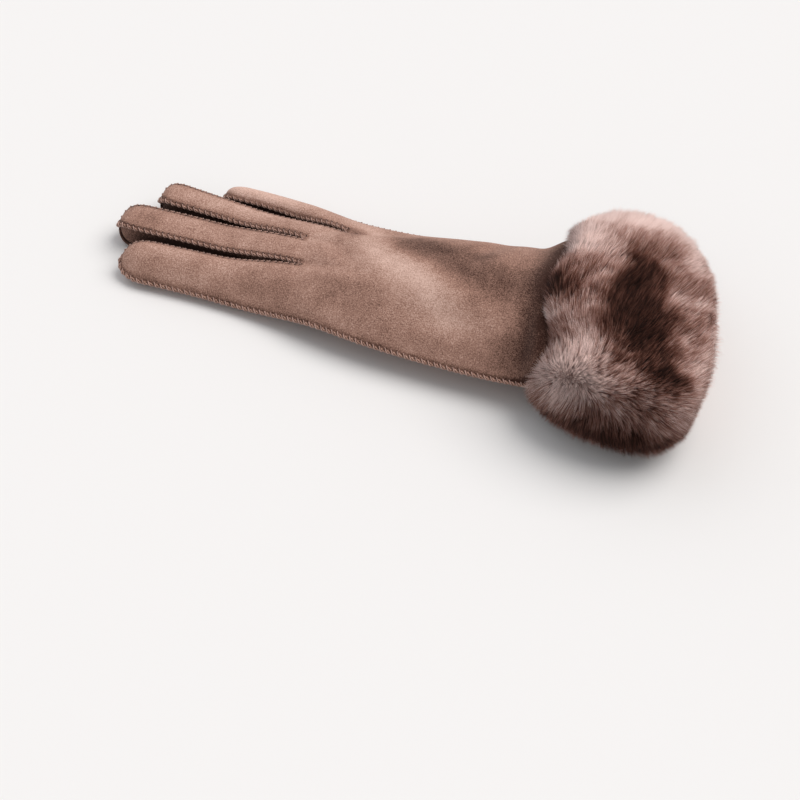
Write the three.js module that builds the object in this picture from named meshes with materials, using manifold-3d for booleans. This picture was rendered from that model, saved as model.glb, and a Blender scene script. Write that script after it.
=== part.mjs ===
// A suede dress glove for the right hand with a deep fur cuff, lying back of the hand up.
// Millimetres. +X runs from the fingertips to the cuff, +Y from the index finger's edge to the
// little finger's edge, +Z up from the surface. The origin is the middle of the footprint.
// The back and the palm are two suede panels, each cut with all four fingers. Strips called
// fourchettes wall the slits between the fingers, and the thumb lies folded under the palm.
import * as THREE from "three";
import { mergeVertices } from "three/addons/utils/BufferGeometryUtils.js";
import Module from "manifold-3d";

const wasm = await Module();
wasm.setup();

// Driving dimensions
const SUEDE = 1.0; // thickness of every suede panel
const SEAM_GAP = 0.35; // space kept between two pieces that are sewn together
const SEAM_STEP = (SUEDE + SEAM_GAP) / 2; // each panel's middle above or below its outseam
const LIP_OUT = 1.4; // how far an outseam's two edges stand out sideways
const RIDGE_OUT = 0.3; // how far a finger seam's edge leans into the slit
const RIDGE_UP = 1.0; // and how far it stands up
const WALL_INSET = 0.9; // the fourchettes stand this far inside the finger seams
const SLIT_HALF = 1.2; // half the width of a slit between two fingers, where it ends

// The hand, a row for each place along it: its two edges, the heights of its two outseams,
// the top of the back and the height of the palm. Fingertips are at negative x.
const HAND = [
  { x: -150, nearY: -37.4, farY: 36.2, nearZ: 5.0, farZ: 5.0, backZ: 15, palmZ: 1.0 },
  { x: -105, nearY: -37.4, farY: 36.2, nearZ: 5.0, farZ: 5.0, backZ: 16, palmZ: 1.0 },
  { x: -75, nearY: -38.0, farY: 35.4, nearZ: 5.8, farZ: 5.6, backZ: 20, palmZ: 1.6 },
  { x: -55, nearY: -41.0, farY: 34.0, nearZ: 9.0, farZ: 8.6, backZ: 25, palmZ: 6.0 },
  { x: -40, nearY: -44.0, farY: 32.6, nearZ: 12.0, farZ: 11.4, backZ: 29, palmZ: 10.8 },
  { x: -10, nearY: -48.6, farY: 31.2, nearZ: 13.2, farZ: 12.8, backZ: 34, palmZ: 11.6 },
  { x: 20, nearY: -50.6, farY: 31.8, nearZ: 13.4, farZ: 13.4, backZ: 38, palmZ: 11.6 },
  { x: 55, nearY: -52.0, farY: 33.6, nearZ: 15.0, farZ: 15.0, backZ: 42, palmZ: 12.0 },
  { x: 85, nearY: -52.0, farY: 36.0, nearZ: 18.0, farZ: 18.0, backZ: 45, palmZ: 12.6 },
];
const KNUCKLES = { nearX: -50, farX: -38 }; // where the index and little fingers begin outside
const SUEDE_END = -31; // the panels end at this place along the cuff

// The slits between the fingers, from the index finger's to the little finger's: where each
// one ends at the knuckles, and the height of the back there.
const CROTCHES = [
  { x: -56, y: -15.4, backZ: 20.5 },
  { x: -60, y: 1.6, backZ: 20.5 },
  { x: -42, y: 13.0, backZ: 20.5 },
];

// The fingers, from index to little: the tip and the length of its rounding, the near and far
// edges of the upper panel half way along, the same at the end, and the heights of the upper
// seams and of the crown above them.
const FINGERS = [
  { tipX: -145, round: 15, nearY: -37.4, farY: -18.6, endNearY: -38.4, endFarY: -20.6, seamZ: 15, crown: 5 },
  { tipX: -155.5, round: 13, nearY: -14.2, farY: 3, endNearY: -14.6, endFarY: 2, seamZ: 15.5, crown: 1.8 },
  { tipX: -142.5, round: 12, nearY: 6.6, farY: 18.6, endNearY: 8.6, endFarY: 24, seamZ: 15, crown: 1.8 },
  { tipX: -112.5, round: 11, nearY: 21.6, farY: 35.6, endNearY: 22.6, endFarY: 36.4, seamZ: 14, crown: 5 },
];

// Dents (depth above 0) and soft ridges (below 0) of the back: middle, direction in degrees
// from +X, and half sizes along and across it.
const FOLDS = [
  { x: -12, y: 17, angle: 8, along: 20, across: 8, depth: 4.2 },
  { x: 8, y: -12, angle: -28, along: 38, across: 9, depth: -1.8 },
  { x: 28, y: -37, angle: -4, along: 30, across: 6, depth: 2.6 },
  { x: -34, y: -34, angle: -6, along: 20, across: 5.5, depth: 1.8 },
  { x: -34, y: -10, angle: -40, along: 14, across: 5, depth: 1.6 },
  { x: 34, y: 12, angle: 64, along: 15, across: 6, depth: 2.2 },
  { x: 52, y: -16, angle: 78, along: 22, across: 7, depth: 1.4 },
];

// The thumb: the oval hole in the palm, and the flat tube under it, from root to tip. Rows of
// the tube give the share of its length, of its half width and of its half height.
const THUMB_HOLE = { x: 18, y: -25, halfLength: 19, halfWidth: 10, turn: -7 };
const THUMB = { rootX: 42, rootY: -28, tipX: -42, tipY: -17.5, half: 12, low: 0.6, high: 9.6 };
const THUMB_ROWS = [
  { along: 0.0, wide: 0.35, tall: 0.3 },
  { along: 0.04, wide: 0.72, tall: 0.75 },
  { along: 0.14, wide: 0.98, tall: 1.0 },
  { along: 0.45, wide: 1.0, tall: 1.0 },
  { along: 0.75, wide: 0.88, tall: 1.0 },
  { along: 0.9, wide: 0.76, tall: 0.94 },
  { along: 0.97, wide: 0.5, tall: 0.66 },
  { along: 1.0, wide: 0.2, tall: 0.26 },
];

// The cuff, a barrel turned from the hand's axis. Rows along it give the half width and its
// sideways shift, and the lowest, widest and highest levels, of the fur and of the hollow.
// The fur's last column is how deep its locks are.
const CUFF = { x: 110, y: -12, turn: 10, roundness: 2.5, floor: 0 };
const FUR = [
  { u: -41, half: 49, shift: 9.6, low: 7, wide: 18.5, high: 50, fur: 2 },
  { u: -37, half: 54, shift: 8.4, low: 2, wide: 20, high: 54.5, fur: 5 },
  { u: -28, half: 60, shift: 6.5, low: -4, wide: 22, high: 58.5, fur: 6 },
  { u: -12, half: 66, shift: 4, low: -8, wide: 25, high: 60, fur: 6 },
  { u: 6, half: 68, shift: 1, low: -8, wide: 26, high: 60, fur: 6 },
  { u: 20, half: 66, shift: -2, low: -7, wide: 26, high: 58.5, fur: 6 },
  { u: 30, half: 60, shift: -3, low: -4, wide: 26, high: 55, fur: 6 },
  { u: 37, half: 50, shift: -2, low: 2, wide: 26, high: 50, fur: 4 },
];
const HOLLOW = [
  { u: 37, half: 43, shift: -2, low: 9.4, wide: 26, high: 43.5 },
  { u: 18, half: 46, shift: 0, low: 9, wide: 25, high: 45.5 },
  { u: -6, half: 46.6, shift: 5, low: 9, wide: 23, high: 46 },
  { u: -30, half: 45.6, shift: 8.6, low: 9.8, wide: 20, high: 46.4 },
  { u: -41, half: 45.5, shift: 10, low: 10.6, wide: 18.5, high: 46.2 },
];
const LOCKS = { rows: 5, around: 16, length: 17, half: 7.5, thick: 2.4, root: 1.6, seed: 7 };

// The pale fur turned in at the mouth, as a closed outline of places along the cuff and depths
// inside the hollow
const FACING = [
  { u: 0, depth: 0.6 },
  { u: 18, depth: 0.35 },
  { u: 37, depth: 0.35 },
  { u: 39.4, depth: -2.2 },
  { u: 41.2, depth: 0.8 },
  { u: 40.2, depth: 4.4 },
  { u: 34, depth: 6.4 },
  { u: 18, depth: 5.4 },
  { u: 3, depth: 4.4 },
];

const FINISH = {
  back: { color: "#9c7b6c", roughness: 0.95 },
  palm: { color: "#957567", roughness: 0.95 },
  wall: { color: "#866759", roughness: 0.95 },
  fur: { color: "#66493f", roughness: 0.9 },
  paleFur: { color: "#ddc5be", roughness: 0.9 },
};

const lerp = THREE.MathUtils.lerp;
const clamp = THREE.MathUtils.clamp;
const radians = THREE.MathUtils.degToRad;
const ease = (t) => THREE.MathUtils.smoothstep(t, 0, 1);
const dome = (w, power) => 1 - Math.abs(2 * w - 1) ** power; // 0 at both edges, 1 between
const signedPower = (value, power) => Math.sign(value) * Math.abs(value) ** power;

// One column of a table at a place, smooth from row to row
function sample(table, key, column, at) {
  const rows = table[0][key] < table[table.length - 1][key] ? table : [...table].reverse();
  const last = rows.length - 2;
  let i = 0;
  while (i < last && rows[i + 1][key] < at) i++;
  const rise = (k) => (rows[k + 1][column] - rows[k][column]) / (rows[k + 1][key] - rows[k][key]);
  const here = rise(i);
  const left = i > 0 ? (rise(i - 1) + here) / 2 : here;
  const right = i < last ? (here + rise(i + 1)) / 2 : here;
  const span = rows[i + 1][key] - rows[i][key];
  const t = clamp((at - rows[i][key]) / span, 0, 1);
  const start = rows[i][column] * (2 * t ** 3 - 3 * t ** 2 + 1) + left * span * (t ** 3 - 2 * t ** 2 + t);
  const end = rows[i + 1][column] * (3 * t ** 2 - 2 * t ** 3) + right * span * (t ** 3 - t ** 2);
  return start + end;
}

const hand = (column, x) => sample(HAND, "x", column, x);

// The curve through values at 0, 1/2 and 1
function through(start, middle, end, t) {
  return start * (1 - t) * (1 - 2 * t) + middle * 4 * t * (1 - t) + end * t * (2 * t - 1);
}

// How far the back's folds sink it at a place
function foldAt(x, y) {
  let drop = 0;
  for (const fold of FOLDS) {
    const turn = radians(fold.angle);
    const dx = x - fold.x;
    const dy = y - fold.y;
    const along = (dx * Math.cos(turn) + dy * Math.sin(turn)) / fold.along;
    const across = (dy * Math.cos(turn) - dx * Math.sin(turn)) / fold.across;
    drop += fold.depth * Math.exp(-along * along - across * across);
  }
  return drop;
}

// The two ends of a finger's knuckle line
function rootsOf(f) {
  const slit = (g, side) => {
    const { x, y, backZ } = CROTCHES[g];
    return { x, y: y + side * SLIT_HALF, z: backZ };
  };
  const edge = (x, column) => ({ x, y: hand(column, x), z: 0 });
  return {
    near: f === 0 ? edge(KNUCKLES.nearX, "nearY") : slit(f - 1, 1),
    far: f === FINGERS.length - 1 ? edge(KNUCKLES.farX, "farY") : slit(f, -1),
  };
}

// A place along a finger: s is 0 at the knuckles and 1 where the round tip starts, and beyond
// that q runs from 0 to 1. It gives the share of the width and of the height that is left.
function fingerStation(s, q) {
  return { s, q, share: Math.max(Math.sqrt(1 - q * q), 0.16), close: 1 - q ** 6 };
}

// Plan of a point across a finger, w from its near edge 0 to its far edge 1
function fingerPlan(f, station, w) {
  const finger = FINGERS[f];
  const { near, far } = rootsOf(f);
  const rootX = lerp(near.x, far.x, w);
  const x = lerp(rootX, finger.tipX + finger.round, station.s) - finger.round * station.q;
  const along = (x - rootX) / (finger.tipX - rootX);
  const nearY = through(near.y, finger.nearY, finger.endNearY, along);
  const farY = through(far.y, finger.farY, finger.endFarY, along);
  const half = ((farY - nearY) / 2) * station.share;
  return { x, y: (nearY + farY) / 2 + (2 * w - 1) * half };
}

// Height of a finger panel at its near or its far edge
function fingerEdge(f, station, side, upper) {
  const finger = FINGERS[f];
  const { x } = fingerPlan(f, station, side);
  const outside = (f === 0 && side === 0) || (f === FINGERS.length - 1 && side === 1);
  const step = upper ? SEAM_STEP : -SEAM_STEP;
  const tip = finger.seamZ * 0.5;
  if (outside) return lerp(tip, hand(side === 0 ? "nearZ" : "farZ", x), station.close) + step;
  const root = side === 0 ? rootsOf(f).near.z : rootsOf(f).far.z;
  const top = lerp(root, finger.seamZ, ease(station.s / 0.55));
  const open = upper ? top : hand("palmZ", x) + 1.2;
  return lerp(tip + step, open, station.close);
}

function fingerPoint(f, station, w, upper) {
  const { x, y } = fingerPlan(f, station, w);
  const base = lerp(fingerEdge(f, station, 0, upper), fingerEdge(f, station, 1, upper), w);
  if (upper) {
    const crown = FINGERS[f].crown * station.share * dome(w, 2.4);
    return new THREE.Vector3(x, y, base + crown);
  }
  const flat = Math.min(base, lerp(base, hand("palmZ", x), station.close));
  return new THREE.Vector3(x, y, lerp(base, flat, dome(w, 4)));
}

// The cuff's own directions, and a point of it at u along, v across and height z
const CUFF_TURN = radians(CUFF.turn);
const CUFF_ALONG = new THREE.Vector3(Math.cos(CUFF_TURN), Math.sin(CUFF_TURN), 0);
const CUFF_ACROSS = new THREE.Vector3(-CUFF_ALONG.y, CUFF_ALONG.x, 0);

function cuffPoint(u, v, z) {
  const point = new THREE.Vector3(CUFF.x, CUFF.y, z);
  return point.addScaledVector(CUFF_ALONG, u).addScaledVector(CUFF_ACROSS, v);
}

// The rounded section of a cuff table at u, inset by a depth
function cuffSection(table, u, inset) {
  const value = (column) => sample(table, "u", column, u);
  return {
    shift: value("shift"),
    half: value("half") - inset,
    wide: value("wide"),
    above: value("high") - value("wide") - inset,
    below: value("wide") - value("low") - inset,
  };
}

function sectionPoint(table, u, inset, angle) {
  const section = cuffSection(table, u, inset);
  const power = 2 / CUFF.roundness;
  const height = Math.sin(angle) > 0 ? section.above : section.below;
  const v = section.shift + section.half * signedPower(Math.cos(angle), power);
  return cuffPoint(u, v, section.wide + height * signedPower(Math.sin(angle), power));
}

// Height of the hand's back or palm away from the fingers and the cuff, w from edge to edge
function freeHeight(x, w, upper) {
  const seam = lerp(hand("nearZ", x), hand("farZ", x), w) + (upper ? SEAM_STEP : -SEAM_STEP);
  if (!upper) return lerp(seam, hand("palmZ", x), dome(w, 5));
  const y = lerp(hand("nearY", x), hand("farY", x), w);
  return lerp(seam, hand("backZ", x), dome(w, 2.6)) - foldAt(x, y) * dome(w, 8);
}

// A point of the panel where it lines the hollow of the cuff
function entryPoint(u, w, upper) {
  const section = cuffSection(HOLLOW, u, SEAM_GAP + SUEDE / 2 + 0.2);
  const across = 2 * w - 1;
  const power = CUFF.roundness;
  const round = (1 - Math.abs(across) ** power) ** (1 / power);
  const rise = Math.max((upper ? section.above : section.below) * round, SEAM_GAP / 2 + 0.75);
  const z = section.wide + (upper ? rise : -rise);
  return cuffPoint(u, section.shift + section.half * across, z);
}

// A point of the hand on the way from its knuckle point, r 0, to its end in the cuff, r 1
function handPoint(knuckle, r, upper) {
  const nearY = hand("nearY", knuckle.x);
  const w = clamp((knuckle.y - nearY) / (hand("farY", knuckle.x) - nearY), 0, 1);
  const x = lerp(knuckle.x, entryPoint(SUEDE_END, w, upper).x, r);
  const y = lerp(hand("nearY", x), hand("farY", x), w);
  const lift = (knuckle.z - freeHeight(knuckle.x, w, upper)) * (1 - ease(r / 0.4));
  const free = new THREE.Vector3(x, y, freeHeight(x, w, upper) + lift);
  const u = r === 1 ? SUEDE_END : free.clone().sub(cuffPoint(0, 0, 0)).dot(CUFF_ALONG);
  const entry = HOLLOW[HOLLOW.length - 1].u;
  const inside = ease((u - entry + 12) / 9);
  return inside > 0 ? free.lerp(entryPoint(u, w, upper), inside) : free;
}

// A surface of points and four-sided faces that is thickened into a closed solid
class Sheet {
  constructor() {
    this.points = [];
    this.faces = [];
  }

  add(point) {
    this.points.push(point);
    return this.points.length - 1;
  }

  addRow(points) {
    return points.map((point) => this.add(point));
  }

  strip(rowA, rowB) {
    for (let i = 0; i + 1 < rowA.length; i++) {
      this.faces.push([rowA[i], rowA[i + 1], rowB[i + 1], rowB[i]]);
    }
  }

  normals() {
    const sums = this.points.map(() => new THREE.Vector3());
    for (const face of this.faces) {
      const [a, b, c, d] = face.map((i) => this.points[i]);
      const normal = c.clone().sub(a).cross(d.clone().sub(b));
      normal.normalize();
      for (const i of face) sums[i].add(normal);
    }
    return sums.map((sum) => sum.normalize());
  }

  thicken(thickness) {
    const normals = this.normals();
    const count = this.points.length;
    const position = new Float32Array(count * 6);
    this.points.forEach((point, i) => {
      const offset = normals[i].clone().multiplyScalar(thickness / 2);
      point.clone().add(offset).toArray(position, i * 3);
      point.clone().sub(offset).toArray(position, (count + i) * 3);
    });
    const index = [];
    const border = new Map();
    for (const face of this.faces) {
      const [a, b, c, d] = face;
      for (const [p, q, r] of [[a, b, c], [a, c, d]]) {
        index.push(p, q, r, count + p, count + r, count + q);
      }
      face.forEach((from, i) => {
        const to = face[(i + 1) % face.length];
        if (!border.delete(`${to} ${from}`)) border.set(`${from} ${to}`, [from, to]);
      });
    }
    for (const [from, to] of border.values()) {
      index.push(from, count + from, count + to, from, count + to, to);
    }
    const geometry = new THREE.BufferGeometry();
    geometry.setAttribute("position", new THREE.BufferAttribute(position, 3));
    return geometry.setIndex(index);
  }
}

// Places where the panels have a row of points
const HAND_STATIONS = [0.07, 0.15, 0.23, 0.31, 0.39, 0.47, 0.55, 0.63, 0.71, 0.79, 0.86, 0.92, 1];
const FINGER_STATIONS = [
  ...[0, 0.1, 0.26, 0.46, 0.7, 1].map((s) => fingerStation(s, 0)),
  ...[0.4, 0.7, 0.88, 0.96, 1].map((q) => fingerStation(1, q)),
];
const FINGER_ACROSS = [0, 0.25, 0.5, 0.75, 1];

// The back or the palm, with its four fingers and with its edges turned out at the seams
function panelSheet(upper) {
  const sheet = new Sheet();
  const rootPoints = FINGERS.flatMap((_, f) =>
    FINGER_ACROSS.map((w) => fingerPoint(f, FINGER_STATIONS[0], w, upper)),
  );
  const handRows = [sheet.addRow(rootPoints)];
  for (const r of HAND_STATIONS) {
    const row = sheet.addRow(rootPoints.map((point) => handPoint(point, r, upper)));
    sheet.strip(row, handRows[handRows.length - 1]);
    handRows.push(row);
  }
  const columns = FINGER_ACROSS.length;
  const fingers = FINGERS.map((_, f) => {
    const rows = [handRows[0].slice(f * columns, (f + 1) * columns)];
    for (const station of FINGER_STATIONS.slice(1)) {
      const row = sheet.addRow(FINGER_ACROSS.map((w) => fingerPoint(f, station, w, upper)));
      sheet.strip(rows[rows.length - 1], row);
      rows.push(row);
    }
    return rows;
  });
  turnEdgesOut(sheet, borderOf(handRows, fingers), upper);
  return sheet;
}

// The border's points from the cuff along the near edge, round every finger and back. Each
// says which kind of seam it is on.
function borderOf(handRows, fingers) {
  const tip = FINGER_STATIONS.length - 1;
  const handEdge = (k, column) => {
    const seam = HAND_STATIONS[k - 1] > 0.84 ? "flush" : "outseam";
    return { i: handRows[k].at(column), seam };
  };
  const border = [];
  for (let k = handRows.length - 1; k > 0; k--) border.push(handEdge(k, 0));
  fingers.forEach((rows, f) => {
    const nearSeam = f === 0 ? "outseam" : "slit";
    const farSeam = f === FINGERS.length - 1 ? "outseam" : "slit";
    rows.forEach((row, k) => border.push({ i: row[0], seam: k < tip - 1 ? nearSeam : "outseam" }));
    for (const i of rows[tip].slice(1, -1)) border.push({ i, seam: "outseam" });
    for (let k = tip; k >= 0; k--) {
      border.push({ i: rows[k].at(-1), seam: k < tip - 1 ? farSeam : "outseam" });
    }
  });
  for (let k = 1; k < handRows.length; k++) border.push(handEdge(k, -1));
  return border;
}

function turnEdgesOut(sheet, border, upper) {
  const turns = {
    outseam: { out: LIP_OUT, up: 0 },
    slit: upper ? { out: RIDGE_OUT, up: RIDGE_UP } : { out: RIDGE_OUT * 2, up: -0.2 },
    flush: { out: 0, up: upper ? -0.4 : 0.4 },
  };
  const lip = border.map(({ i, seam }, k) => {
    const before = sheet.points[border[Math.max(0, k - 1)].i];
    const after = sheet.points[border[Math.min(border.length - 1, k + 1)].i];
    const along = after.clone().sub(before).setZ(0).normalize();
    const outward = new THREE.Vector3(-along.y, along.x, 0);
    const point = sheet.points[i].clone().addScaledVector(outward, turns[seam].out);
    point.z += turns[seam].up;
    return sheet.add(point);
  });
  const edge = border.map(({ i }) => i);
  sheet.strip(edge, lip);
}

// The wall of one slit, from one finger's tip round the crotch to the next finger's tip
function fourchetteSheet(g) {
  const stations = FINGER_STATIONS.slice(0, -1);
  const wallPoint = (f, k, side) => {
    const here = fingerPlan(f, stations[k], side);
    const ahead = fingerPlan(f, FINGER_STATIONS[k + 1], side);
    const behind = k > 0 ? fingerPlan(f, stations[k - 1], side) : here;
    const along = new THREE.Vector2(ahead.x - behind.x, ahead.y - behind.y).normalize();
    const inset = side === 1 ? -WALL_INSET : WALL_INSET;
    return {
      x: here.x + along.y * inset,
      y: here.y - along.x * inset,
      low: fingerEdge(f, stations[k], side, false) + SUEDE / 2 + SEAM_GAP,
      high: fingerEdge(f, stations[k], side, true) - SUEDE / 2 - SEAM_GAP,
    };
  };
  const crotch = CROTCHES[g];
  const low = hand("palmZ", crotch.x + 2) + 1.3 + SUEDE / 2 + SEAM_GAP;
  const high = crotch.backZ - SUEDE / 2 - SEAM_GAP;
  const turn = [-45, 0, 45].map((angle) => ({
    x: crotch.x + WALL_INSET * 1.3 * Math.cos(radians(angle)),
    y: crotch.y + (SLIT_HALF + WALL_INSET) * Math.sin(radians(angle)),
    low,
    high,
  }));
  const path = [
    ...stations.map((_, k) => wallPoint(g, k, 1)).reverse(),
    ...turn,
    ...stations.map((_, k) => wallPoint(g + 1, k, 0)),
  ];
  const sheet = new Sheet();
  const rows = [0, 0.5, 1].map((t) =>
    sheet.addRow(path.map(({ x, y, low: a, high: b }) => new THREE.Vector3(x, y, lerp(a, b, t)))),
  );
  sheet.strip(rows[0], rows[1]);
  sheet.strip(rows[1], rows[2]);
  return sheet;
}

// The solid of a geometry, with its equal points joined
function solidOf(geometry) {
  const bare = geometry.clone();
  bare.deleteAttribute("normal");
  bare.deleteAttribute("uv");
  const merged = mergeVertices(bare, 1e-4);
  return new wasm.Manifold(
    new wasm.Mesh({
      numProp: 3,
      vertProperties: merged.attributes.position.array,
      triVerts: new Uint32Array(merged.index.array),
    }),
  );
}

function geometryOf(solid) {
  const mesh = solid.getMesh();
  const geometry = new THREE.BufferGeometry();
  geometry.setAttribute("position", new THREE.BufferAttribute(mesh.vertProperties, 3));
  return geometry.setIndex(new THREE.BufferAttribute(mesh.triVerts, 1));
}

// A closed solid through rings of points. Its two ends are capped, unless the rings go round.
function loft(rings, ringsClose) {
  const around = rings[0].length;
  const points = rings.flat();
  const index = [];
  const steps = ringsClose ? rings.length : rings.length - 1;
  for (let k = 0; k < steps; k++) {
    const here = k * around;
    const next = ((k + 1) % rings.length) * around;
    for (let i = 0; i < around; i++) {
      const j = (i + 1) % around;
      index.push(here + i, here + j, next + j, here + i, next + j, next + i);
    }
  }
  if (!ringsClose) {
    for (const k of [0, rings.length - 1]) {
      const middle = new THREE.Vector3();
      for (const point of rings[k]) middle.addScaledVector(point, 1 / around);
      points.push(middle);
      for (let i = 0; i < around; i++) {
        const pair = [k * around + ((i + 1) % around), k * around + i];
        index.push(...(k === 0 ? pair : pair.reverse()), points.length - 1);
      }
    }
  }
  return new THREE.BufferGeometry().setFromPoints(points).setIndex(index);
}

// The solid of a loft, whichever way round its rings run
function loftSolid(rings, ringsClose) {
  const solid = solidOf(loft(rings, ringsClose));
  if (solid.volume() > 0) return solid;
  return solidOf(loft(rings.map((ring) => [...ring].reverse()), ringsClose));
}

const turned = (count) => Array.from({ length: count }, (_, i) => (2 * Math.PI * i) / count);

// An upright oval post, for the hole in the palm and the collar under it
function ovalPost(grow, low, high) {
  const hole = THUMB_HOLE;
  const post = new THREE.CylinderGeometry(1, 1, high - low, 24);
  post.rotateX(Math.PI / 2);
  post.scale(hole.halfLength + grow, hole.halfWidth + grow, 1);
  post.rotateZ(radians(hole.turn));
  return solidOf(post.translate(hole.x, hole.y, (low + high) / 2));
}

// The thumb's outside, or its hollow if it is inset
function thumbBody(inset) {
  const root = new THREE.Vector3(THUMB.rootX, THUMB.rootY, 0);
  const tip = new THREE.Vector3(THUMB.tipX, THUMB.tipY, 0);
  const length = root.distanceTo(tip);
  const along = tip.clone().sub(root).normalize();
  const across = new THREE.Vector3(-along.y, along.x, 0);
  const centre = (THUMB.low + THUMB.high) / 2;
  const rings = THUMB_ROWS.map((row) => {
    const reach = inset + row.along * (length - 2 * inset);
    const half = THUMB.half * row.wide - inset * Math.min(1, row.wide * 1.3);
    const height = ((THUMB.high - THUMB.low) / 2) * row.tall - inset * Math.min(1, row.tall * 1.1);
    return turned(14).map((angle) => {
      const wide = half * signedPower(Math.cos(angle), 0.75);
      const tall = height * signedPower(Math.sin(angle), 0.75);
      const point = root.clone().addScaledVector(along, reach).addScaledVector(across, wide);
      return point.setZ(centre + tall);
    });
  });
  return loftSolid(rings, false);
}

function thumbSolid() {
  const palmUnder = hand("palmZ", THUMB_HOLE.x) - SUEDE / 2 - SEAM_GAP;
  const centre = (THUMB.low + THUMB.high) / 2;
  const outside = thumbBody(0).add(ovalPost(SUEDE, centre, palmUnder));
  const inside = thumbBody(SUEDE).add(ovalPost(0, centre, palmUnder + 1));
  return outside.subtract(inside);
}

// A repeatable run of numbers from 0 to 1
function shuffled(seed) {
  let state = seed;
  return () => {
    state = (state * 16807) % 2147483647;
    return state / 2147483647;
  };
}

// One lock of fur, a tapered tuft with a four-sided section that lies along the barrel. It
// starts under the pelt at a place u along and an angle round, and leans by a run and a twist.
function furLock(u, angle, run, twist) {
  const depth = sample(FUR, "u", "fur", u);
  const rows = [
    { along: -0.05, inset: depth + LOCKS.root, wide: 0.85, tall: 1 },
    { along: 0.4, inset: depth * 0.45, wide: 1, tall: 0.9 },
    { along: 1, inset: 0.5, wide: 0.3, tall: 0.3 },
  ];
  const at = (place, inset, round) => sectionPoint(FUR, u + place * run, inset, angle + round);
  const rings = rows.map((row) => {
    const round = row.along * twist;
    const centre = at(row.along, row.inset, round);
    const side = at(row.along, row.inset, round + 0.03).sub(at(row.along, row.inset, round - 0.03));
    const along = at(row.along + 0.1, row.inset, round).sub(centre).normalize();
    const normal = side.normalize().clone().cross(along);
    return turned(4).map((corner) => {
      const across = Math.cos(corner) * LOCKS.half * row.wide;
      const up = Math.sin(corner) * LOCKS.thick * row.tall;
      return centre.clone().addScaledVector(side, across).addScaledVector(normal, up);
    });
  });
  return loftSolid(rings, false);
}

// The cuff's pelt with its locks, cut flat where it rests
function furSolid() {
  const ring = (table, u, inset) => turned(36).map((angle) => sectionPoint(table, u, inset, angle));
  let solid = loftSolid(FUR.map((row) => ring(FUR, row.u, row.fur)), false);
  const random = shuffled(LOCKS.seed);
  const locks = [];
  for (let row = 0; row < LOCKS.rows; row++) {
    const t = row / (LOCKS.rows - 1);
    const u = lerp(FUR[0].u + 5, FUR.at(-1).u - 6, t);
    for (let k = 0; k < LOCKS.around; k++) {
      const angle = (2 * Math.PI * (k + (row % 2) / 2 + 0.3 * random())) / LOCKS.around;
      const reach = LOCKS.length * lerp(0.8, 1, random()) * (1 - 0.45 * (2 * t - 1) ** 2);
      const run = row === 0 ? -0.6 * reach : reach;
      const lock = furLock(u, angle, run, 0.3 * (random() - 0.5));
      if (Math.sin(angle) > -0.8) locks.push(lock);
    }
  }
  for (const lock of locks) solid = solid.add(lock);
  const hollow = [HOLLOW[0].u + 9, ...HOLLOW.map((row) => row.u), HOLLOW.at(-1).u - 9];
  const below = new THREE.BoxGeometry(400, 400, 40).translate(CUFF.x, CUFF.y, CUFF.floor - 20);
  solid = solid.subtract(loftSolid(hollow.map((u) => ring(HOLLOW, u, 0)), false));
  return solid.subtract(solidOf(below)).asOriginal().simplify(0.03);
}

function facingSolid() {
  const mouth = HOLLOW[0].u;
  const rings = FACING.map(({ u, depth }) => {
    const past = Math.max(0, u - mouth);
    const ring = turned(36).map((angle) => sectionPoint(HOLLOW, u - past, depth, angle));
    return ring.map((point) => point.addScaledVector(CUFF_ALONG, past));
  });
  return loftSolid(rings, true);
}

const palmSolid = solidOf(panelSheet(false).thicken(SUEDE)).subtract(ovalPost(0, 4, 20));

const group = new THREE.Group();
const pieces = [
  { name: "hand_back", geometry: panelSheet(true).thicken(SUEDE), finish: FINISH.back },
  { name: "hand_palm", geometry: geometryOf(palmSolid), finish: FINISH.palm },
  { name: "fourchette_index_middle", geometry: fourchetteSheet(0).thicken(SUEDE), finish: FINISH.wall },
  { name: "fourchette_middle_ring", geometry: fourchetteSheet(1).thicken(SUEDE), finish: FINISH.wall },
  { name: "fourchette_ring_little", geometry: fourchetteSheet(2).thicken(SUEDE), finish: FINISH.wall },
  { name: "thumb", geometry: geometryOf(thumbSolid()), finish: FINISH.palm },
  { name: "fur_cuff", geometry: geometryOf(furSolid()), finish: FINISH.fur },
  { name: "mouth_fur_facing", geometry: geometryOf(facingSolid()), finish: FINISH.paleFur },
];
const box = new THREE.Box3();
for (const { name, geometry, finish } of pieces) {
  const mesh = new THREE.Mesh(geometry, new THREE.MeshStandardMaterial({ ...finish, metalness: 0 }));
  mesh.name = name;
  geometry.computeBoundingBox();
  box.union(geometry.boundingBox);
  group.add(mesh);
}

// The footprint's middle becomes the origin.
const middle = box.getCenter(new THREE.Vector3());
for (const mesh of group.children) mesh.geometry.translate(-middle.x, -middle.y, -box.min.z);

export default group;
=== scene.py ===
"""Looks of a right-hand suede glove with a deep fur cuff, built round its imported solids.

The tables hold millimetres in the pattern's own axes: +X from the fingertips to the cuff's mouth,
+Y from the index finger's edge to the little finger's edge, +Z up from the surface that the glove
lies on. placed() moves such points into the frame, in metres.
"""

import logging
import math
from collections.abc import Callable
from dataclasses import dataclass
from enum import Enum
from functools import partial

import bpy
import numpy as np
from bpy.types import Material, Node, NodeSocket, NodeTree, Object
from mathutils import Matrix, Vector, noise
from mathutils.kdtree import KDTree


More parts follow.
